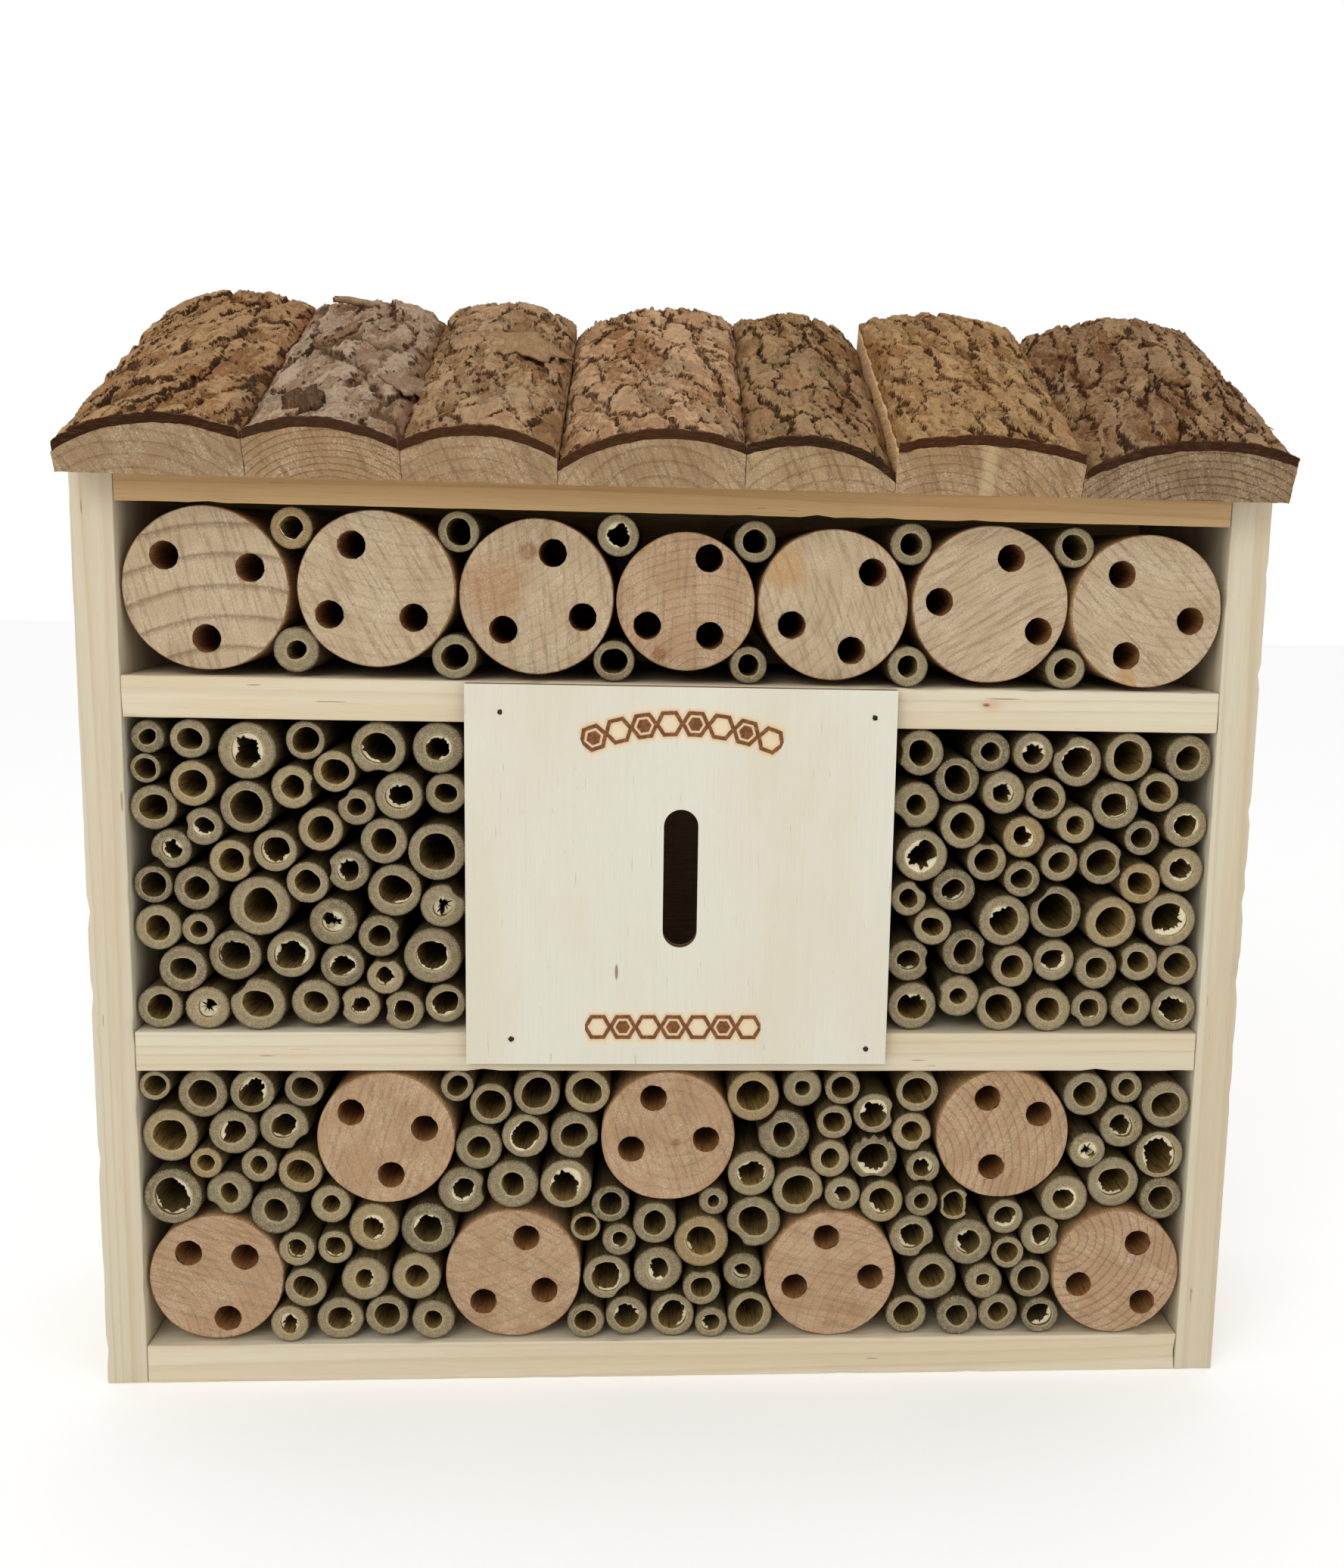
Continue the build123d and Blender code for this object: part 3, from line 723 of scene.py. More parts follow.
def plate_face():
    def paint(tree):
        axes = axes_of(place(tree))
        x, z = axes[0], axes[2]
        fine = speckle(place(tree, (2.4, 1, 0.05)), 1.0, 5.0, 0.7)
        tick = speckle(place(tree, (1.5, 1, 0.12), (4, 0, 9)), 1.0, 2.0, 0.5)
        broad = speckle(place(tree, (0.03, 1, 0.012)), 1.0, 3.0)
        colour = mix(broad.step(0.35, 0.7), rgb(210, 207, 192), rgb(206, 200, 180))
        colour = mix(fine.step(0.4, 0.8) * 0.35, colour, rgb(195, 186, 163))
        colour = mix(tick.step(0.71, 0.76) * 0.5, colour, rgb(172, 158, 128))
        rough = speckle(place(tree), 1.1, 3.0, 0.7)
        wobble = (rough - 0.5) * 0.7
        over = z - ARCH_MIDDLE
        arch = hexagon_row(x.calc("ARCTAN2", over) * ARCH_RADIUS, hypot(x, over) - ARCH_RADIUS, 8, 0)
        row = hexagon_row(x - ROW_MIDDLE[0], z - ROW_MIDDLE[1], 7, 1)
        line, near = (a.calc("MINIMUM", b) for a, b in zip(arch, row))
        colour = mix(fade(near + wobble, -0.5, 3.6) * 0.35, colour, rgb(228, 190, 120))
        colour = mix(fade(line, 0.0, 1.8) * 0.6, colour, rgb(196, 142, 76))
        char = fade(wobble * 0.25 + line, STROKE - 0.12, STROKE + 0.12)
        colour = mix(char, colour, mix(rough.step(0.4, 0.65), SCORCH, rgb(128, 78, 34)))
        mark = fade(oval(axes, (-18.3, 129.5), (0.55, 2.7)), 0.6, 1.1)
        colour = mix(mark * 0.8, colour, rgb(118, 84, 56))
        return colour, char * -1.5 + fine, 0.08

    return surface("plate_veneer", paint, roughness=0.6)


def evenly(a, b, count):
    """Points from a up to b, with b left out."""
    t = np.linspace(0, 1, count, endpoint=False)[:, None]
    return np.array(a) * (1 - t) + np.array(b) * t


def front_plate():
    """The thin plate with its slot, and a hollow over each brad."""
    low, high = mm_box("front_plate")
    points = node_points("front_plate")[0]
    middle = (low[2] + high[2]) / 2
    inner = points[(np.abs(points[:, 0]) < 20) & (np.abs(points[:, 2] - middle) < 40)]
    half = inner[:, 0].max()
    slot_low, slot_high = inner[:, 2].min() + half, inner[:, 2].max() - half
    nails = [part.mean(0)[[0, 2]] for part in solids("plate_nails")]

    def room(x, z):
        slot_gap = np.hypot(x, z - np.clip(z, slot_low, slot_high)) - half
        pin_gaps = [np.hypot(x - nx, z - nz) - PIN for nx, nz in nails]
        sides = [x - low[0], high[0] - x, z - low[2], high[2] - z]
        return np.minimum.reduce(sides + [slot_gap] + pin_gaps)

    corners = [(low[0], low[2]), (high[0], low[2]), (high[0], high[2]), (low[0], high[2])]
    outline = np.concatenate([evenly(a, b, 70) for a, b in zip(corners, corners[1:] + corners[:1])])
    turn = np.linspace(0, math.pi, 20)
    upper = np.stack([half * np.cos(turn), slot_high + half * np.sin(turn)], 1)
    lower = np.stack([-half * np.cos(turn), slot_low - half * np.sin(turn)], 1)
    sides = [evenly(a[-1], b[0], 18)[1:] for a, b in ((upper, lower), (lower, upper))]
    slot = np.concatenate([upper, sides[0], lower, sides[1]])
    rng = np.random.default_rng(3)
    pins = [ring(14, PIN * rng.uniform(0.75, 1.15, 14), nail) for nail in nails]
    loops = [outline, slot] + pins
    flat, tris = filled_face(loops, room, 1.6, 5)
    sag = np.clip(0.06 * fbm(flat[:, 0] / 14, flat[:, 1] / 20, 4), -0.06, 1)
    chip = np.zeros(len(flat))
    for nail in nails:
        far = np.hypot(*(flat - nail).T)
        chip = np.maximum(chip, 0.35 * np.exp(-((far - PIN) / 0.7) ** 2))
    face = upright(flat, low[1] + 0.08 + sag + chip)
    build = Build()
    build.add(face, tris, 0)
    build.add(upright(flat, high[1]), tris[:, ::-1], 0)
    start = 0
    for number, loop in enumerate(loops):
        part = slice(start, start + len(loop))
        start += len(loop)
        ragged = flat[part].copy()
        ragged[:, 0] += 0.05 * noise2(loop[:, 0] / 0.8, loop[:, 1] / 0.8, 8 + number)
        depths = (0.25, 1.2, 2.4, high[1] - low[1] - 0.1)
        walls = [upright(ragged, low[1] + depth) for depth in depths]
        build.tube([face[part]] + walls, 1, flip=number > 0)
    edge = ply_edge("plate_edge", low[1], high[1], rgb(150, 118, 78), rgb(74, 48, 28))
    build.object("front_plate_wood", "front_plate", [plate_face(), edge])


front_plate()


# ---- drilled logs ----
SET_BACK = 0.35               # how far a sawn face lies behind the CAD one, for its loose fibres
RIM_EASE = 0.3                # how far the edge round a sawn face is rounded
HOLE_REACH = 8.3              # two points of one hole are never this far apart
DRILLED = streaky("drilled_wall", 5, rgb(164, 116, 68), rgb(106, 70, 38), 1, 0.2)
PEELED = streaky("peeled_side", 6, rgb(178, 142, 100), rgb(132, 96, 60), 1, 0.2)

TAN_DARK, RING_DARK = rgb(160, 131, 98), rgb(118, 84, 54)
TAN = (rgb(208, 183, 148), rgb(232, 212, 180), TAN_DARK, RING_DARK)
PINK = (rgb(196, 159, 122), rgb(226, 196, 160), TAN_DARK, RING_DARK)
ORANGE, RED_KNOT, RUST = rgb(206, 158, 98), rgb(150, 92, 62), rgb(186, 138, 98)

# for each log: pith from its centre (dx, dz), rings' spacing, saw marks' angle in degrees, how
# strong the rings are, its shades, and its stains (dx, dz, size, colour) from its centre
TOP_LOOKS = [
    ((8, -66), 8.5, 15, 0.6, TAN, ()),
    ((10, 60), 3.2, 30, 0.1, TAN, ()),
    ((-30, 50), 3.0, 6, 0.06, TAN, ((-2.5, 13, 3.2, RED_KNOT), (-13, 3, 11, RUST))),
    ((5, -26), 2.6, 0, 0.2, PINK, ((-7.3, -15, 2.4, RED_KNOT),)),
    ((-25, 5), 3.4, 20, 0.15, TAN, ((-15, 11, 8, ORANGE),)),
    ((30, -40), 3.2, -60, 0.08, TAN, ()),
    ((12, 45), 2.8, 45, 0.08, TAN, ((-5, -20, 4, ORANGE),)),
]
LOW_LOOKS = [
    ((-25, -20), 2.9, 75, 0.12, PINK, ()),
    ((40, 10), 3.4, -18, 0.08, PINK, ()),
    ((-20, 40), 3.1, 60, 0.1, PINK, ()),
    ((2, 4), 3.6, 20, 0.16, PINK, ((2.5, -2, 1.4, RED_KNOT),)),
    ((30, -25), 3.0, 75, 0.1, PINK, ()),
    ((-35, -10), 2.6, -30, 0.35, PINK, ()),
    ((-17, 11), 2.7, 60, 0.45, PINK, ()),
]


def log_facts(node):
    """Centre, radius, front, back, end of the holes and the holes (x, z, radius) of a drilled log."""
    points = node_points(node)[0]
    low, high = points.min(0), points.max(0)
    x, _, z = (low + high) / 2
    bottoms = points[(points[:, 1] > low[1] + 5) & (points[:, 1] < high[1] - 5)]
    depth = bottoms[:, 1].max()
    holes = []
    while len(bottoms):
        near = np.hypot(*(bottoms - bottoms[0])[:, (0, 2)].T) < HOLE_REACH
        a, b = bottoms[near].min(0), bottoms[near].max(0)
        holes.append(((a[0] + b[0]) / 2, (a[2] + b[2]) / 2, (b[0] - a[0]) / 2))
        bottoms = bottoms[~near]
    return x, z, (high[0] - low[0]) / 2, low[1], high[1], depth, holes


def cut_relief(look, px, pz, rings, turn, seed):
    """How far a log's sawn face stands out at each point, in mm."""
    across = px * math.cos(turn) + pz * math.sin(turn)
    along = pz * math.cos(turn) - px * math.sin(turn)
    groove = np.exp(-((rings % 1 - 0.88) / 0.1) ** 2) * look[3]
    saw = 0.2 * fbm(across / 1.5, along / 16, seed + 1, 3)
    relief = saw + 0.16 * fbm(px / 0.9, pz / 0.9, seed + 2, 2)
    return relief - 0.25 * groove + 0.25 * fbm(px / 12, pz / 12, seed + 3, 2)


def drilled_log(node, look, seed):
    """A round log with three drilled holes, in place of its CAD node."""
    x, z, radius, front, back, bottom, holes = log_facts(node)
    pith, spacing, saw, strength, shades, stains = look
    rng = np.random.default_rng(seed)
    around = 110
    angle = bearings(around)
    wave = fbm(1.2 * np.cos(angle) + 9, 1.2 * np.sin(angle) + 9, seed, 3)
    outer = radius * (1 - 0.012 + 0.012 * wave)

    def room(px, pz):
        limit = np.interp(np.arctan2(pz - z, px - x), angle, outer, period=TURN)
        gaps = [np.hypot(px - hx, pz - hz) - hr for hx, hz, hr in holes]
        return np.minimum.reduce([limit - RIM_EASE - np.hypot(px - x, pz - z)] + gaps)

    rim = ring(around, outer - RIM_EASE + 0.08 * rng.uniform(-1, 1, around), (x, z))
    bores = [ring(36, hr * (1 + 0.02 * rng.uniform(-1, 1, 36)), (hx, hz)) for hx, hz, hr in holes]
    flat, tris = filled_face([rim] + bores, room, 0.85, seed)
    px, pz = flat[:, 0], flat[:, 1]
    rings = np.hypot(px - x - pith[0], pz - z - pith[1]) / spacing
    rings = rings + 0.45 / spacing * fbm(px / 14, pz / 14, seed, 2)
    turn = math.radians(saw)
    relief = cut_relief(look, px, pz, rings, turn, seed)
    face = upright(flat, front + SET_BACK - np.clip(relief, -0.6, SET_BACK))
    build = Build()
    build.add(face, tris, 0, rings=rings)
    side = ring(around, outer, (x, z))
    rows = [upright(side, front + SET_BACK + depth) for depth in (0.35, 2, 6, 14, 30, 55)]
    build.tube([face[:around]] + rows + [upright(side, back)], 1, cap=True)
    start = around
    for hole in bores:
        rows = [upright(hole, front + depth) for depth in (0.3, 1.5, 4, 10, 24, bottom - front)]
        build.tube([face[start:start + len(hole)]] + rows, 2, flip=True, cap=True)
        start += len(hole)
    stains = [(x + dx, z + dz, size, tone) for dx, dz, size, tone in stains]
    cut = end_grain(node + "_cut", seed, shades, turn, strength, stains)
    build.object(node + "_wood", node, [cut, PEELED, DRILLED])


for level, looks, first_seed in (("top_log", TOP_LOOKS, 20), ("low_log", LOW_LOOKS, 60)):
    for number, look in enumerate(looks, 1):
        drilled_log(f"{level}_{number}", look, first_seed + number)


# ---- reed tubes ----
REED_TONES = [
    (0.0, rgb(120, 108, 84)), (0.35, rgb(142, 128, 100)), (0.65, rgb(156, 141, 110)),
    (0.88, rgb(166, 148, 112)), (1.0, rgb(164, 138, 96)),
]
REED_SHADE = rgb(84, 70, 46)


def reed_cut(tree):
    """The cut wall, darker at the skin and paler at the bore."""
    wall, tone = attribute(tree, "wall"), attribute(tree, "tone")
    flat = place(tree, (1, 0.4, 1))
    fibre = speckle(flat, 2.6, 3.0, 0.75)
    dots = speckle(flat, 5.0, 2.0, 0.7)
    patch = speckle(flat, 0.5, 2.0)
    colour = mix(patch.step(0.4, 0.7) * 0.35, ramp(tone, REED_TONES), rgb(190, 174, 138))
    rim = ramp(wall, [(0.0, 1.0), (0.14, 0.3), (0.26, 0.0), (1.0, 0.0)])
    colour = mix(rim, colour, REED_SHADE)
    colour = mix(wall.step(0.72, 0.95) * 0.6, colour, rgb(204, 186, 142))
    colour = mix(fibre.step(0.52, 0.66) * 0.7, colour, rgb(204, 190, 156))
    colour = mix(dots.step(0.53, 0.64) * 0.8, colour, REED_SHADE)
    return colour, fibre + dots * -0.6, 0.4


def reed_torn(tree):
    """The thin pale skin that is torn inside the bore."""
    fine = speckle(place(tree, (2, 0.5, 2)), 1.0, 4.0, 0.7)
    return mix(fine, rgb(236, 228, 204), rgb(186, 168, 122)), fine, 0.1


def stalk(scale, light, warm, dark, depth):
    """The paint of a reed's skin or bore: light to warm by its tone, with dark streaks."""
    def paint(tree):
        fine = speckle(place(tree, scale), 1.0, 4.0, 0.7)
        colour = mix(attribute(tree, "tone"), light, warm)
        return mix(fine.step(0.4, 0.7), colour, dark), fine, depth

    return paint


SKIN = stalk((1.5, 0.08, 1.5), rgb(84, 72, 46), rgb(108, 90, 54), rgb(50, 40, 24), 0.15)
BORE = stalk((1.2, 0.1, 1.2), rgb(104, 86, 50), rgb(150, 122, 66), rgb(70, 54, 28), 0.2)
REED_MATERIALS = [
    surface("reed_cut", reed_cut, roughness=0.9, specular=0.15),
    surface("reed_skin", SKIN, roughness=0.5, specular=0.4),
    surface("reed_bore", BORE, roughness=0.8, specular=0.2),
    surface("reed_torn", reed_torn, roughness=0.85, specular=0.2),
]
REED_AROUND = 48
WHITE_PITH = [(-101, 143), (125, 72), (-70, 148), (-138, 117), (140, 205)]     # x, z of torn reeds
WALL_SHARES = (0, 0.14, 0.34, 0.54, 0.74, 0.92, 1)     # from the skin to the bore on the cut
EASED = {0: 0.3, 1: 0.22}                              # how far the cut's two edges are set back


def reed_facts(points):
    """Centre, outer radius by bearing, bore radius, front and back of one reed."""
    front, back = points[:, 1].min(), points[:, 1].max()
    flat = points[points[:, 1] < front + 0.01][:, (0, 2)]
    centre = (flat.min(0) + flat.max(0)) / 2
    for _ in range(4):
        far = np.hypot(*(flat - centre).T)
        inside = far < far.min() * 0.6 + far.max() * 0.4
        centre = (flat[inside].min(0) + flat[inside].max(0)) / 2
    far = np.hypot(*(flat - centre).T)
    bearing = np.arctan2(flat[:, 1] - centre[1], flat[:, 0] - centre[0]) % TURN
    bore = np.median(far[inside])
    outside = far > bore * 1.05
    return centre, (bearing[outside], far[outside]), bore, front, back


def reed(build, points, rng):
    """One reed tube: skin, cut end and bore, from the points of its CAD solid."""
    centre, outline, bore, front, back = reed_facts(points)
    seed = int(rng.integers(1, 9999))
    angle = bearings(REED_AROUND)
    cx, cz = np.cos(angle), np.sin(angle)
    soft = fbm(1.3 * cx + seed, 1.3 * cz + seed, seed, 3)
    outer = np.interp(angle, *outline, period=TURN) * (0.985 + 0.014 * soft)
    wide = rng.uniform(0.9, 1.12)
    squash = 1 + rng.uniform(0, 0.1) * np.cos(2 * (angle - rng.uniform(0, math.pi)))
    inner = bore * wide * squash * (1 + 0.07 * fbm(1.1 * cx, 1.1 * cz, seed + 3, 2, 0.4))
    inner = np.minimum(inner, outer - 0.75)
    tilt_x, tilt_z = rng.uniform(-0.05, 0.05, 2)
    tone = float(np.clip(rng.normal(0.48, 0.24), 0, 1))

    def row(radius, y):
        x, z = centre[0] + radius * cx, centre[1] + radius * cz
        return np.stack([x, y + tilt_x * radius * cx + tilt_z * radius * cz, z], 1)

    rows = [row(outer, y) for y in (back, front + 30, front + 8, front + 0.9)]
    for share in WALL_SHARES:
        radius = outer + (inner - outer) * share
        rough = fbm((centre[0] + radius * cx) / 0.8, (centre[1] + radius * cz) / 0.8, seed, 3)
        rows.append(row(radius, front + 0.3 + 0.16 * rough + EASED.get(share, 0)))
    for depth in (1.2, 3, 7, 16, 40):
        lump = 1 - 0.05 * abs(noise2(cx * 2 + depth, cz * 2, seed + 9))
        rows.append(row(inner * lump, front + depth))
    rows += [row(inner * 0.95, back), rows[0]]
    wall = [0] * 4 + list(WALL_SHARES) + [1] * 6 + [0]
    bands = [1] * 4 + [0] * (len(WALL_SHARES) - 1) + [2] * 6 + [1]
    slots, wall = np.repeat(bands, REED_AROUND), np.repeat(wall, REED_AROUND)
    build.tube(rows, slots, flip=True, wall=wall, tone=tone)
    torn = any(math.hypot(centre[0] - x, centre[1] - z) < 5 for x, z in WHITE_PITH)
    if torn or rng.random() < 0.4:
        torn_rim(build, centre, inner, front, rng, 0.75 if torn else rng.uniform(0.15, 0.5))
    if torn:
        torn_rim(build, centre, inner, front + 1.5, rng, 0.9)


def torn_rim(build, centre, inner, front, rng, reach):
    """A ragged, thin shelf of torn inner skin round part of the bore."""
    around = 96
    seed = int(rng.integers(1, 9999))
    middle, spread = rng.uniform(0, TURN), rng.uniform(0.8, 3.1)
    angle = np.linspace(-spread, spread, around)
    bearing = middle + angle
    limit = np.interp(bearing, bearings(REED_AROUND), inner, period=TURN)
    ragged = np.abs(noise2(bearing * 1.4, bearing * 0 + 3, seed))
    ragged = ragged + 0.5 * np.abs(noise2(bearing * 4, bearing * 0, seed + 1))
    ragged = ragged + 0.35 * lattice(np.floor(angle * 9), angle * 0, seed + 2)
    depth = reach * np.clip(ragged * 0.75, 0.03, 0.95)
    depth = depth * smoothstep(spread, spread * 0.75, np.abs(angle))
    start = front + rng.uniform(0.45, 1.6)
    sheets = []
    for share in (0, 0.5, 1):
        radius = limit * (1.01 - depth * share)
        curl = rng.uniform(-0.3, 0.9) + 0.25 * noise2(bearing * 3, bearing * 0 + share, seed + 3)
        x, z = centre[0] + radius * np.cos(bearing), centre[1] + radius * np.sin(bearing)
        sheets.append(np.stack([x, start + curl * share, z], 1))
    back = [sheet + (0, 0.14, 0) for sheet in sheets[::-1]]
    points = np.concatenate(sheets + back + [sheets[0]])
    build.add(points, grid_faces(7, around, flip=True), 3, wall=0.5, tone=0.5)


reed_nodes = sorted(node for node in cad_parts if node.startswith("reeds_"))
for number, node in enumerate(reed_nodes):
    rng = np.random.default_rng(100 + number)
    bundle = Build()
    for points in solids(node):
        reed(bundle, points, rng)
    bundle.object(node + "_stalks", node, REED_MATERIALS)


# ---- roof slabs ----
BARK = 3.0                    # thickness in the CAD model
BARK_STEP = 0.42

# for each slab's bark: plates' width and length, fissures' angle in degrees, how deep the fissures
# go, how flaky it is, and its colours: pale plates, plates, deep fissures
Bark = namedtuple("Bark", "wide long angle crack flaky pale base deep")
BARK_LOOKS = [
    Bark(13, 24, -28, 0.9, 1.0, (211, 171, 123), (161, 114, 70), (56, 28, 10)),
    Bark(15, 36, -10, 0.8, 0.75, (213, 187, 159), (161, 127, 95), (66, 40, 22)),
    Bark(9, 16, 0, 0.7, 0.95, (210, 174, 132), (167, 129, 87), (70, 41, 17)),
    Bark(8, 21, 20, 0.85, 0.9, (227, 186, 143), (178, 134, 91), (68, 39, 16)),
    Bark(8, 26, 10, 0.85, 0.8, (196, 160, 115), (151, 112, 70), (52, 31, 12)),
    Bark(9, 32, 10, 0.75, 0.9, (210, 170, 119), (166, 122, 73), (70, 36, 14)),
    Bark(6.5, 46, -5, 0.9, 0.85, (191, 156, 114), (140, 99, 61), (58, 30, 12)),
]


def bark_material(name, look, seed):
    pale, base, deep = rgb(*look.pale), rgb(*look.base), rgb(*look.deep)
    red = rgb(*look.base, by=(0.92, 0.76, 0.62))
    grey = rgb(*look.pale, by=(0.82, 0.86, 0.9))
    shade = rgb(*(c * 0.55 + d * 0.45 for c, d in zip(look.base, look.deep)))

    def paint(tree):
        high, crack, tone = (attribute(tree, key) for key in ("high", "crack", "tone"))
        spot = place(tree)
        fine = speckle(spot, 1.1, 5.0, 0.7)
        broad = speckle(spot, 0.06, 3.0)
        grit = speckle(spot, 2.8, 3.0, 0.7)
        fibre = speckle(place(tree, (2.2, 0.25, 0.25), (seed, 0, 0)), 1.0, 4.0, 0.7)
        grain = (fine - 0.5) * 1.3 + (fibre - 0.5) * 1.1
        lift = grain + high
        colour = mix(lift.step(0.4, 1.1), base, pale)
        colour = mix(tone.step(0.4, 0.95) * 0.5, colour, red)
        colour = mix(broad.step(0.5, 0.72) * 0.5, colour, grey)
        colour = mix(fibre.step(0.52, 0.72) * 0.45, colour, red)
        colour = mix(fade(lift, -0.05, 0.42) * 0.6, colour, shade)
        # Deep colour in the fissures, and painted shadow along the plates' steep edges.
        colour = mix((grain * 0.6 + crack).step(0.5, 1.0) * 0.9, colour, deep)
        colour = mix(grit.step(0.55, 0.7) * 0.6, colour, shade)
        return colour, fine + grit * 0.5, 1.0

    return surface(name, paint, roughness=0.9, specular=0.15)


def bark_edge(name, look):
    """The dark cut edge of the bark at the front, in thin layers."""
    def paint(tree):
        layer = speckle(place(tree, (0.25, 1, 2.4)), 1.0, 4.0, 0.65)
        grit = speckle(place(tree), 2.2, 3.0, 0.7)
        colour = mix(layer.step(0.48, 0.74), rgb(*look.deep, by=0.9), rgb(82, 55, 33))
        return mix(grit.step(0.56, 0.7) * 0.5, colour, rgb(38, 23, 12)), layer, 0.3

    return surface(name, paint, roughness=0.9, specular=0.15)


Slab = namedtuple("Slab", "left right front back arch")     # x, distance up the slope, and a circle


def arch_through(points):
    """The circle through a slab's arched top in x and height: its middle, and its radius."""
    x, h = points[:, 0], points[:, 2]
    columns = np.stack([x, h, np.ones(len(x))], 1)
    solution = np.linalg.lstsq(columns, x * x + h * h, rcond=None)[0]
    cx, ch = solution[0] / 2, solution[1] / 2
    return cx, ch, math.sqrt(solution[2] + cx * cx + ch * ch)


def arch_height(slab, x):
    cx, ch, radius = slab.arch
    return ch + np.sqrt(np.maximum(radius ** 2 - (x - cx) ** 2, 0))


def slab_facts(number):
    """A slab's limits and arch, read from its CAD node."""
    points = to_roof(node_points(f"roof_slab_{number}")[0])
    low, high = points.min(0), points.max(0)
    top = points[(points[:, 2] > 0.3) & (points[:, 1] < low[1] + 0.01)]
    return Slab(low[0], high[0], low[1], high[1], arch_through(top))


def bark_field(x, s, slab, look, seed):
    """Thickness of the bark, how deep in a fissure each point is, and its plate's own number."""
    warp_x = x + 1.9 * fbm(x / 6, s / 9, seed) + 0.9 * fbm(x / 1.6, s / 2.6, seed + 21, 3)
    warp_s = s + 4.5 * fbm(x / 7 + 9, s / 11, seed + 1) + 1.2 * fbm(x / 1.8, s / 2.2, seed + 22, 3)
    turn = math.radians(look.angle)
    across = warp_x * math.cos(turn) + warp_s * math.sin(turn)
    along = -warp_x * math.sin(turn) + warp_s * math.cos(turn)
    edge, label = cells(across / look.wide, along / look.long, seed + 2)
    wide = 0.09 + 0.09 * fbm(x / 9, s / 14, seed + 3, 2)
    crack = smoothstep(wide + 0.05, wide * 0.3, edge) * look.crack
    levels = fbm(across / 6.5, along / 25, seed + 6, 5, 0.6) * 2.6 + label * 1.6 + 3
    small = fbm(across / 2.7 + 4, along / 11, seed + 8, 4, 0.6) * 1.7 + 2
    tiny = fbm(across / 1.5, along / 4.5, seed + 16, 3, 0.6) * 1.6 + 2
    fine = fbm(x / 0.9, s / 2.4, seed + 7, 3)
    plates = stepped(levels, 0.16, 3) + stepped(small, 0.2, 2)
    thick = 0.62 + 0.19 * look.flaky * plates
    thick = thick - 0.5 * crack + 0.07 * stepped(tiny, 0.25, 2) + 0.06 * fine
    worn = np.minimum(x - slab.left, slab.right - x) + 1.5 * fbm(s / 6, x / 6, seed + 8)
    thick = thick * (0.5 + 0.5 * smoothstep(0, 3.5, worn))
    tone = (np.floor(levels) * 0.37 + np.floor(small) * 0.21 + label) % 1
    return BARK * np.clip(thick, 0.06, 1.15), crack, tone


def bark_crust(build, slab, look, seed):
    """The bark's outer face. Gives its points in roof directions, in rows up the slope."""
    left, right, front, back = slab[:4]
    columns, rows = (int(length / BARK_STEP) + 1 for length in (right - left, back - front))
    grid = np.meshgrid(np.linspace(left, right, columns), np.linspace(front, back, rows))
    x, s = (values.ravel() for values in grid)
    thick, crack, tone = bark_field(x, s, slab, look, seed)
    thick = thick * (0.75 + 0.25 * smoothstep(0, 6, back - s + 3 * fbm(x / 5, s / 5, seed + 9)))
    lip = 0.9 * smoothstep(front + 2.6, front + 0.4, s)
    lip_thick = np.minimum(2.85 + 0.3 * fbm(x / 3, x / 9, seed + 14), BARK)
    thick = thick * (1 - lip) + lip_thick * lip
    # Painted shadow: the steep edges of the plates are darkened like the fissures, for the shadow
    # that falls under the flakes.
    steep = np.hypot(*np.gradient(thick.reshape(rows, columns), BARK_STEP)).ravel()
    crack = np.maximum(crack, smoothstep(0.55, 1.7, steep))
    from_lip = s - front + 0.9 * fbm(x / 2.5, s / 3, seed + 15)
    crack = np.maximum(crack, smoothstep(2.2, 0.4, from_lip))
    inward = np.where(x < (left + right) / 2, 1, -1)
    inward = inward * smoothstep(1.5, 0, np.minimum(x - left, right - x))
    ragged_x = x + inward * np.clip(0.25 + 0.5 * fbm(s / 4, x / 4, seed + 10), 0, 1)
    ends = smoothstep(front + 2.0, front, s) * (0.5 + 0.6 * fbm(x / 3, x / 17, seed + 11))
    ends = ends - smoothstep(back - 3, back, s) * (0.6 + 1.6 * fbm(x / 4, x / 13, seed + 12))
    top = np.stack([ragged_x, s + np.clip(ends, -4.5, 1.2), thick + arch_height(slab, x)], 1)
    high = np.clip(thick / BARK, 0, 1)
    build.add(from_roof(top), grid_faces(rows, columns), 0, high=high, crack=crack, tone=tone)
    return top.reshape(rows, columns, 3), arch_height(slab, x).reshape(rows, columns) + 0.02


def bark_walls(build, top, base, seed):
    """The bark's four edges, from its outer face down to the wood. The front one is darker."""
    lines = ((0, True), (-1, False), (np.s_[:, 0], False), (np.s_[:, -1], True))
    for side, (line, turn) in enumerate(lines):
        sheets = []
        for k in range(6):
            share = k / 5
            sheet = top[line].copy()
            sheet[:, 2] = sheet[:, 2] * (1 - share) + base[line] * share
            if 0 < k < 5:
                down = sheet[:, 2] / 0.7 + sheet[:, 1] / 2
                dent = 0.35 * fbm(sheet[:, 0] / 1.5 + k, down, seed + 13 + k, 2)
                sheet[:, 1 if side < 2 else 0] += dent * (1 if side in (0, 2) else -1)
            sheets.append(sheet)
        faces = grid_faces(6, len(sheets[0]), flip=not turn)
        slot = 1 if side == 0 else 0
        build.add(from_roof(np.concatenate(sheets)), faces, slot, high=0.25, crack=0.4, tone=0.4)


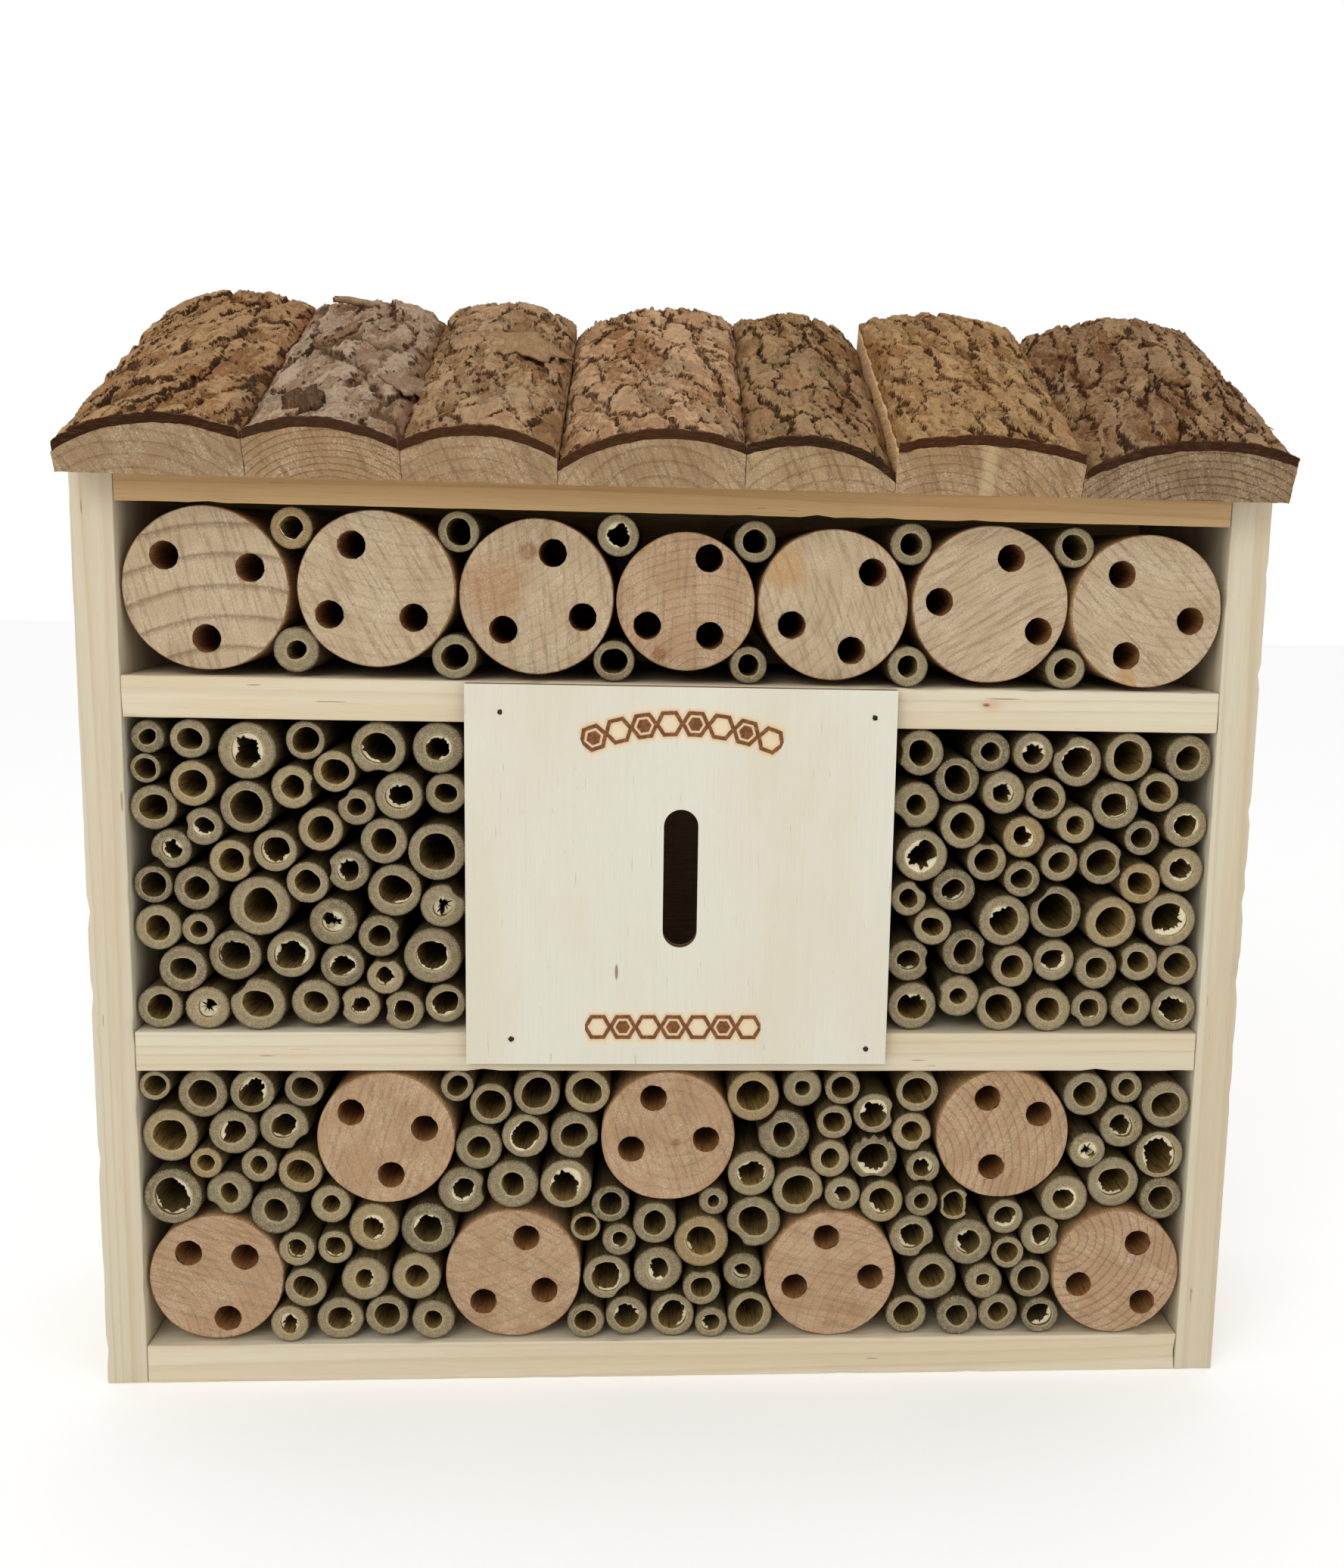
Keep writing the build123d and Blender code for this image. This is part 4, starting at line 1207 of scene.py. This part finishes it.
def loose_plate(build, slab, rng, centre, half, lift, thick, tone, tilt=None, turn=0.0, dark=0.0):
    """A loose plate of bark, lift over the wood, that leans sideways and uphill by tilt."""
    around, rings = 30, 6
    seed = int(rng.integers(1, 9999))
    angle = bearings(around)
    jag = 1 + 0.42 * fbm(2.0 * np.cos(angle), 2.0 * np.sin(angle), seed, 4, 0.75)
    lean = tilt or (rng.uniform(-0.12, 0.12), rng.uniform(-0.08, 0.14))
    cx, cs = math.cos(turn), math.sin(turn)
    sheets = []
    for k in range(rings):
        share = (k / (rings - 1)) ** 0.8
        u, v = half[0] * jag * share * np.cos(angle), half[1] * jag * share * np.sin(angle)
        x, s = centre[0] + u * cx - v * cs, centre[1] + u * cs + v * cx
        height = arch_height(slab, x) + lift + lean[0] * u + lean[1] * v
        sheets.append(np.stack([x, s, height + 0.12 * fbm(x / 1.5, s / 2.5, seed)], 1))
    upper = np.concatenate(sheets)
    spots = 0.62 + 0.2 * fbm(upper[:, 0] / 1.5, upper[:, 1] / 3, seed + 1)
    high = np.concatenate([spots, np.full(2 * around, 0.2)])
    crack = np.concatenate([np.full(len(upper), dark), np.full(2 * around, 0.7)])
    sheets += [sheets[-1] - (0, 0, thick), sheets[0] - (0, 0, thick)]
    rows = [from_roof(sheet) for sheet in sheets]
    build.tube(rows, 0, flip=True, high=high, crack=crack, tone=tone)


# the larger loose pieces of bark: middle (x, along the slope), half width and length, height over
# the wood, thickness, tone, lean (sideways, uphill), turn and how dark it is
LOOSE_PIECES = {
    1: [((-146, 55), (7, 9), 3.0, 0.7, 0.2, (0.05, -0.03), 0.2)],
    2: [
        ((-102.3, -8), (4.4, 1.3), 5.6, 2.2, 0.3, (0.1, 2.3), 0.2, 0.9),
        ((-103.4, 84), (5.6, 1.2), 4.5, 1.6, 0.3, (-0.2, 0.1), -0.1),
        ((-80, 26), (6, 9), 3.0, 0.6, 0.4, (-0.03, -0.05), 0.1),
        ((-69, 42), (2.2, 5), 3.6, 1.0, 0.9, (0.3, 0.1), 0.3),
    ],
    3: [((-50, 56), (12, 11), 3.1, 0.7, 0.1, (0.02, 0.02), 0.0)],
    7: [((147, 30), (3.2, 1.6), 4.2, 0.9, 0.9, (-0.1, 0.1), 0.3)],
}
SPLINTERS = (3, 2, 5, 8, 5, 16, 14)        # how many lie on each slab's bark
FLAKES = 5                                 # how many stand off each slab's bark


def bark_flake(build, slab, rng):
    """A thin plate that stands a little off the bark."""
    half = (rng.uniform(1.8, 3.6), rng.uniform(4.0, 9.0))
    x = rng.uniform(slab.left + half[0] * 0.8, slab.right - half[0] * 0.8)
    s = rng.uniform(slab.front + half[1], slab.back - half[1] * 0.9)
    lift = BARK * rng.uniform(0.72, 0.95)
    loose_plate(build, slab, rng, (x, s), half, lift, 0.55, rng.uniform(0, 1))


def bark_splinter(build, slab, rng):
    """A thin pale fibre on the bark."""
    x = rng.uniform(slab.left + 4, slab.right - 4)
    s = rng.uniform(slab.front + 5, slab.back - 6)
    half = (rng.uniform(1.6, 3.8), rng.uniform(0.16, 0.3))
    loose_plate(build, slab, rng, (x, s), half, 3.0, 0.2, 0.05, turn=rng.uniform(-0.7, 0.7))


def bark_cover(number, look):
    """A slab's bark, in place of its CAD node."""
    slab = slab_facts(number)
    seed = 200 + 20 * number
    build = Build()
    top, base = bark_crust(build, slab, look, seed)
    bark_walls(build, top, base, seed)
    for flake in range(FLAKES):
        bark_flake(build, slab, np.random.default_rng(seed * 50 + flake))
    for piece in LOOSE_PIECES.get(number, ()):
        loose_plate(build, slab, np.random.default_rng(seed), *piece)
    for splinter in range(SPLINTERS[number - 1]):
        bark_splinter(build, slab, np.random.default_rng(seed * 70 + splinter))
    node = f"bark_{number}"
    materials = [bark_material(node + "_face", look, number), bark_edge(node + "_edge", look)]
    build.object(node + "_crust", node, materials)


# for each slab: pith from the middle of its base (dx, height), ring spacing, how strong the rings
# are, and its base, light and dark shades
SLAB_CUTS = [
    ((-4, -30), 3.6, 0.35, (173, 143, 107), (207, 180, 141), (134, 105, 74)),
    ((2, -22), 1.9, 0.6, (176, 142, 103), (211, 177, 135), (138, 104, 69)),
    ((-2, -20), 3.4, 0.25, (176, 144, 107), (213, 183, 143), (134, 105, 73)),
    ((3, -14), 4.4, 0.4, (175, 144, 106), (215, 186, 147), (133, 104, 71)),
    ((6, -24), 4.0, 0.4, (174, 142, 102), (218, 192, 151), (126, 96, 64)),
    ((-12, -22), 2.6, 0.35, (175, 141, 102), (214, 184, 144), (132, 101, 67)),
    ((6, -34), 2.3, 0.75, (155, 126, 92), (189, 159, 122), (109, 82, 56)),
]
HEARTS = {6: (83, rgb(214, 190, 146))}     # the pale streak up the middle of a slab's cut end
SIDES = {6: 1.22}                          # how much paler a slab's sawn sides are
SIDE_SHADES = ((196, 164, 122), (150, 116, 78))
SAW_TURN = math.radians(25)


def slab_outline(slab):
    """Points round a slab's cut end in x and height, from its lower left corner."""
    across = np.linspace(slab.left, slab.right, int(slab.right - slab.left))
    up_right = np.linspace(0, arch_height(slab, slab.right), 12)[1:-1]
    down_left = np.linspace(arch_height(slab, slab.left), 0, 8)[1:-1]
    x = [across, np.full(len(up_right), slab.right), across[::-1], np.full(len(down_left), slab.left)]
    height = [np.zeros(len(across)), up_right, arch_height(slab, across[::-1]), down_left]
    return np.stack([np.concatenate(x), np.concatenate(height)], 1)


def slab_wood(number, look):
    """A half-round slab with sawn ends, in place of its CAD node."""
    pith, spacing, strength, base, light, dark = look
    slab = slab_facts(number)
    seed = 300 + number
    middle = (slab.left + slab.right) / 2

    def room(x, h):
        return np.minimum.reduce([x - slab.left, slab.right - x, h, arch_height(slab, x) - h])

    outline = slab_outline(slab)
    flat, tris = filled_face([outline], room, 0.75, seed)
    x, h = flat[:, 0], flat[:, 1]
    rings = np.hypot(x - middle - pith[0], h - pith[1]) / spacing + 0.1 * fbm(x / 10, h / 6, seed, 3)
    groove = np.exp(-((rings % 1 - 0.88) / 0.12) ** 2) * strength
    relief = 0.28 * fbm(x / 0.9, h / 0.9, seed + 1, 3) - 0.3 * groove
    relief = relief + 0.22 * fbm((x + h) / 2.2, h / 1.1, seed + 2, 2)
    build = Build()
    face = from_roof(upright(flat, slab.front + 0.45 - np.clip(relief, -0.5, 0.45)))
    build.add(face, tris, 0, rings=rings)
    rows = [face[:len(outline)]]
    front, back = slab.front, slab.back
    for along in (front + 1.2, front + 4, front + 12, front + 40, back - 30, back):
        wavy = 0.12 * np.abs(fbm(outline[:, 0] / 5 + along, outline[:, 1] / 3, seed + 3))
        row = upright(outline, along)
        row[:, 0] += np.sign(middle - outline[:, 0]) * wavy
        rows.append(from_roof(row))
    build.tube(rows, 1)
    build.add(from_roof(upright(flat, back)), tris[:, ::-1], 0, rings=rings)
    shades = (rgb(*base), rgb(*light), rgb(*dark), rgb(*dark, by=0.82))
    cut = end_grain(f"slab_{number}_cut", seed, shades, SAW_TURN, strength, heart=HEARTS.get(number))
    side_shades = [rgb(*shade, by=SIDES.get(number, 1.0)) for shade in SIDE_SHADES]
    sides = streaky(f"slab_{number}_side", number, *side_shades, 1, 0.3)
    node = f"roof_slab_{number}"
    build.object(node + "_wood", node, [cut, sides])


for number, look in enumerate(SLAB_CUTS, 1):
    slab_wood(number, look)
for number, look in enumerate(BARK_LOOKS, 1):
    bark_cover(number, look)


# ---- nails and hanger ----
def steel(name, bright, grime_colour, roughness):
    def paint(tree):
        grime = speckle(place(tree), 0.9, 5.0, 0.7)
        scratch = speckle(place(tree, (3, 0.4, 0.4)), 1.0, 3.0, 0.6)
        colour = mix(grime.step(0.4, 0.7), bright, grime_colour)
        return colour, grime + scratch * 0.6, 0.05, grime * 0.3 + roughness

    return surface(name, paint, metallic=0.9, specular=0.5)


def metal_nodes():
    """These CAD nodes keep their meshes, with eased edges and a worn metal finish."""
    wire = steel("wire_steel", rgb(150, 148, 144), rgb(96, 84, 74), 0.32)
    zinc = steel("zinc", rgb(176, 178, 180), rgb(128, 130, 132), 0.3)
    for node in ("frame_nails", "back_panel_nails", "roof_nails", "hanger_plate", "hanger_screws"):
        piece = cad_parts[node]
        for slot in piece.material_slots:
            slot.material = zinc if node.startswith("hanger") else wire
        ease = piece.modifiers.new("ease", "BEVEL")
        ease.width, ease.segments, ease.limit_method = 0.12 * MM, 2, "ANGLE"
        ease.angle_limit = math.radians(40)


def plate_brads():
    """The four thin brads, driven in until their heads sit below the veneer."""
    shank, around = 0.6, 16
    head = [(0.001, 0.62), (0.45, 0.55), (0.72, 0.6), (0.8, 0.75), (0.78, 1.0), (shank, 1.15)]
    build = Build()
    for number, points in enumerate(solids("plate_nails")):
        low, high = points.min(0), points.max(0)
        middle, length = (low + high) / 2, high[1] - low[1]
        rng = np.random.default_rng(number)
        rows = []
        for radius, depth in head + [(shank, 8.0), (shank, length - 2.5), (0.001, length)]:
            uneven = radius * (1 + 0.06 * rng.uniform(-1, 1, around))
            rows.append(upright(ring(around, uneven, (middle[0], middle[2])), low[1] + depth))
        build.tube(rows, flip=True)
    dark = steel("brad_steel", rgb(70, 62, 54), rgb(44, 36, 30), 0.45)
    build.object("plate_brads", "plate_nails", [dark])


metal_nodes()
plate_brads()
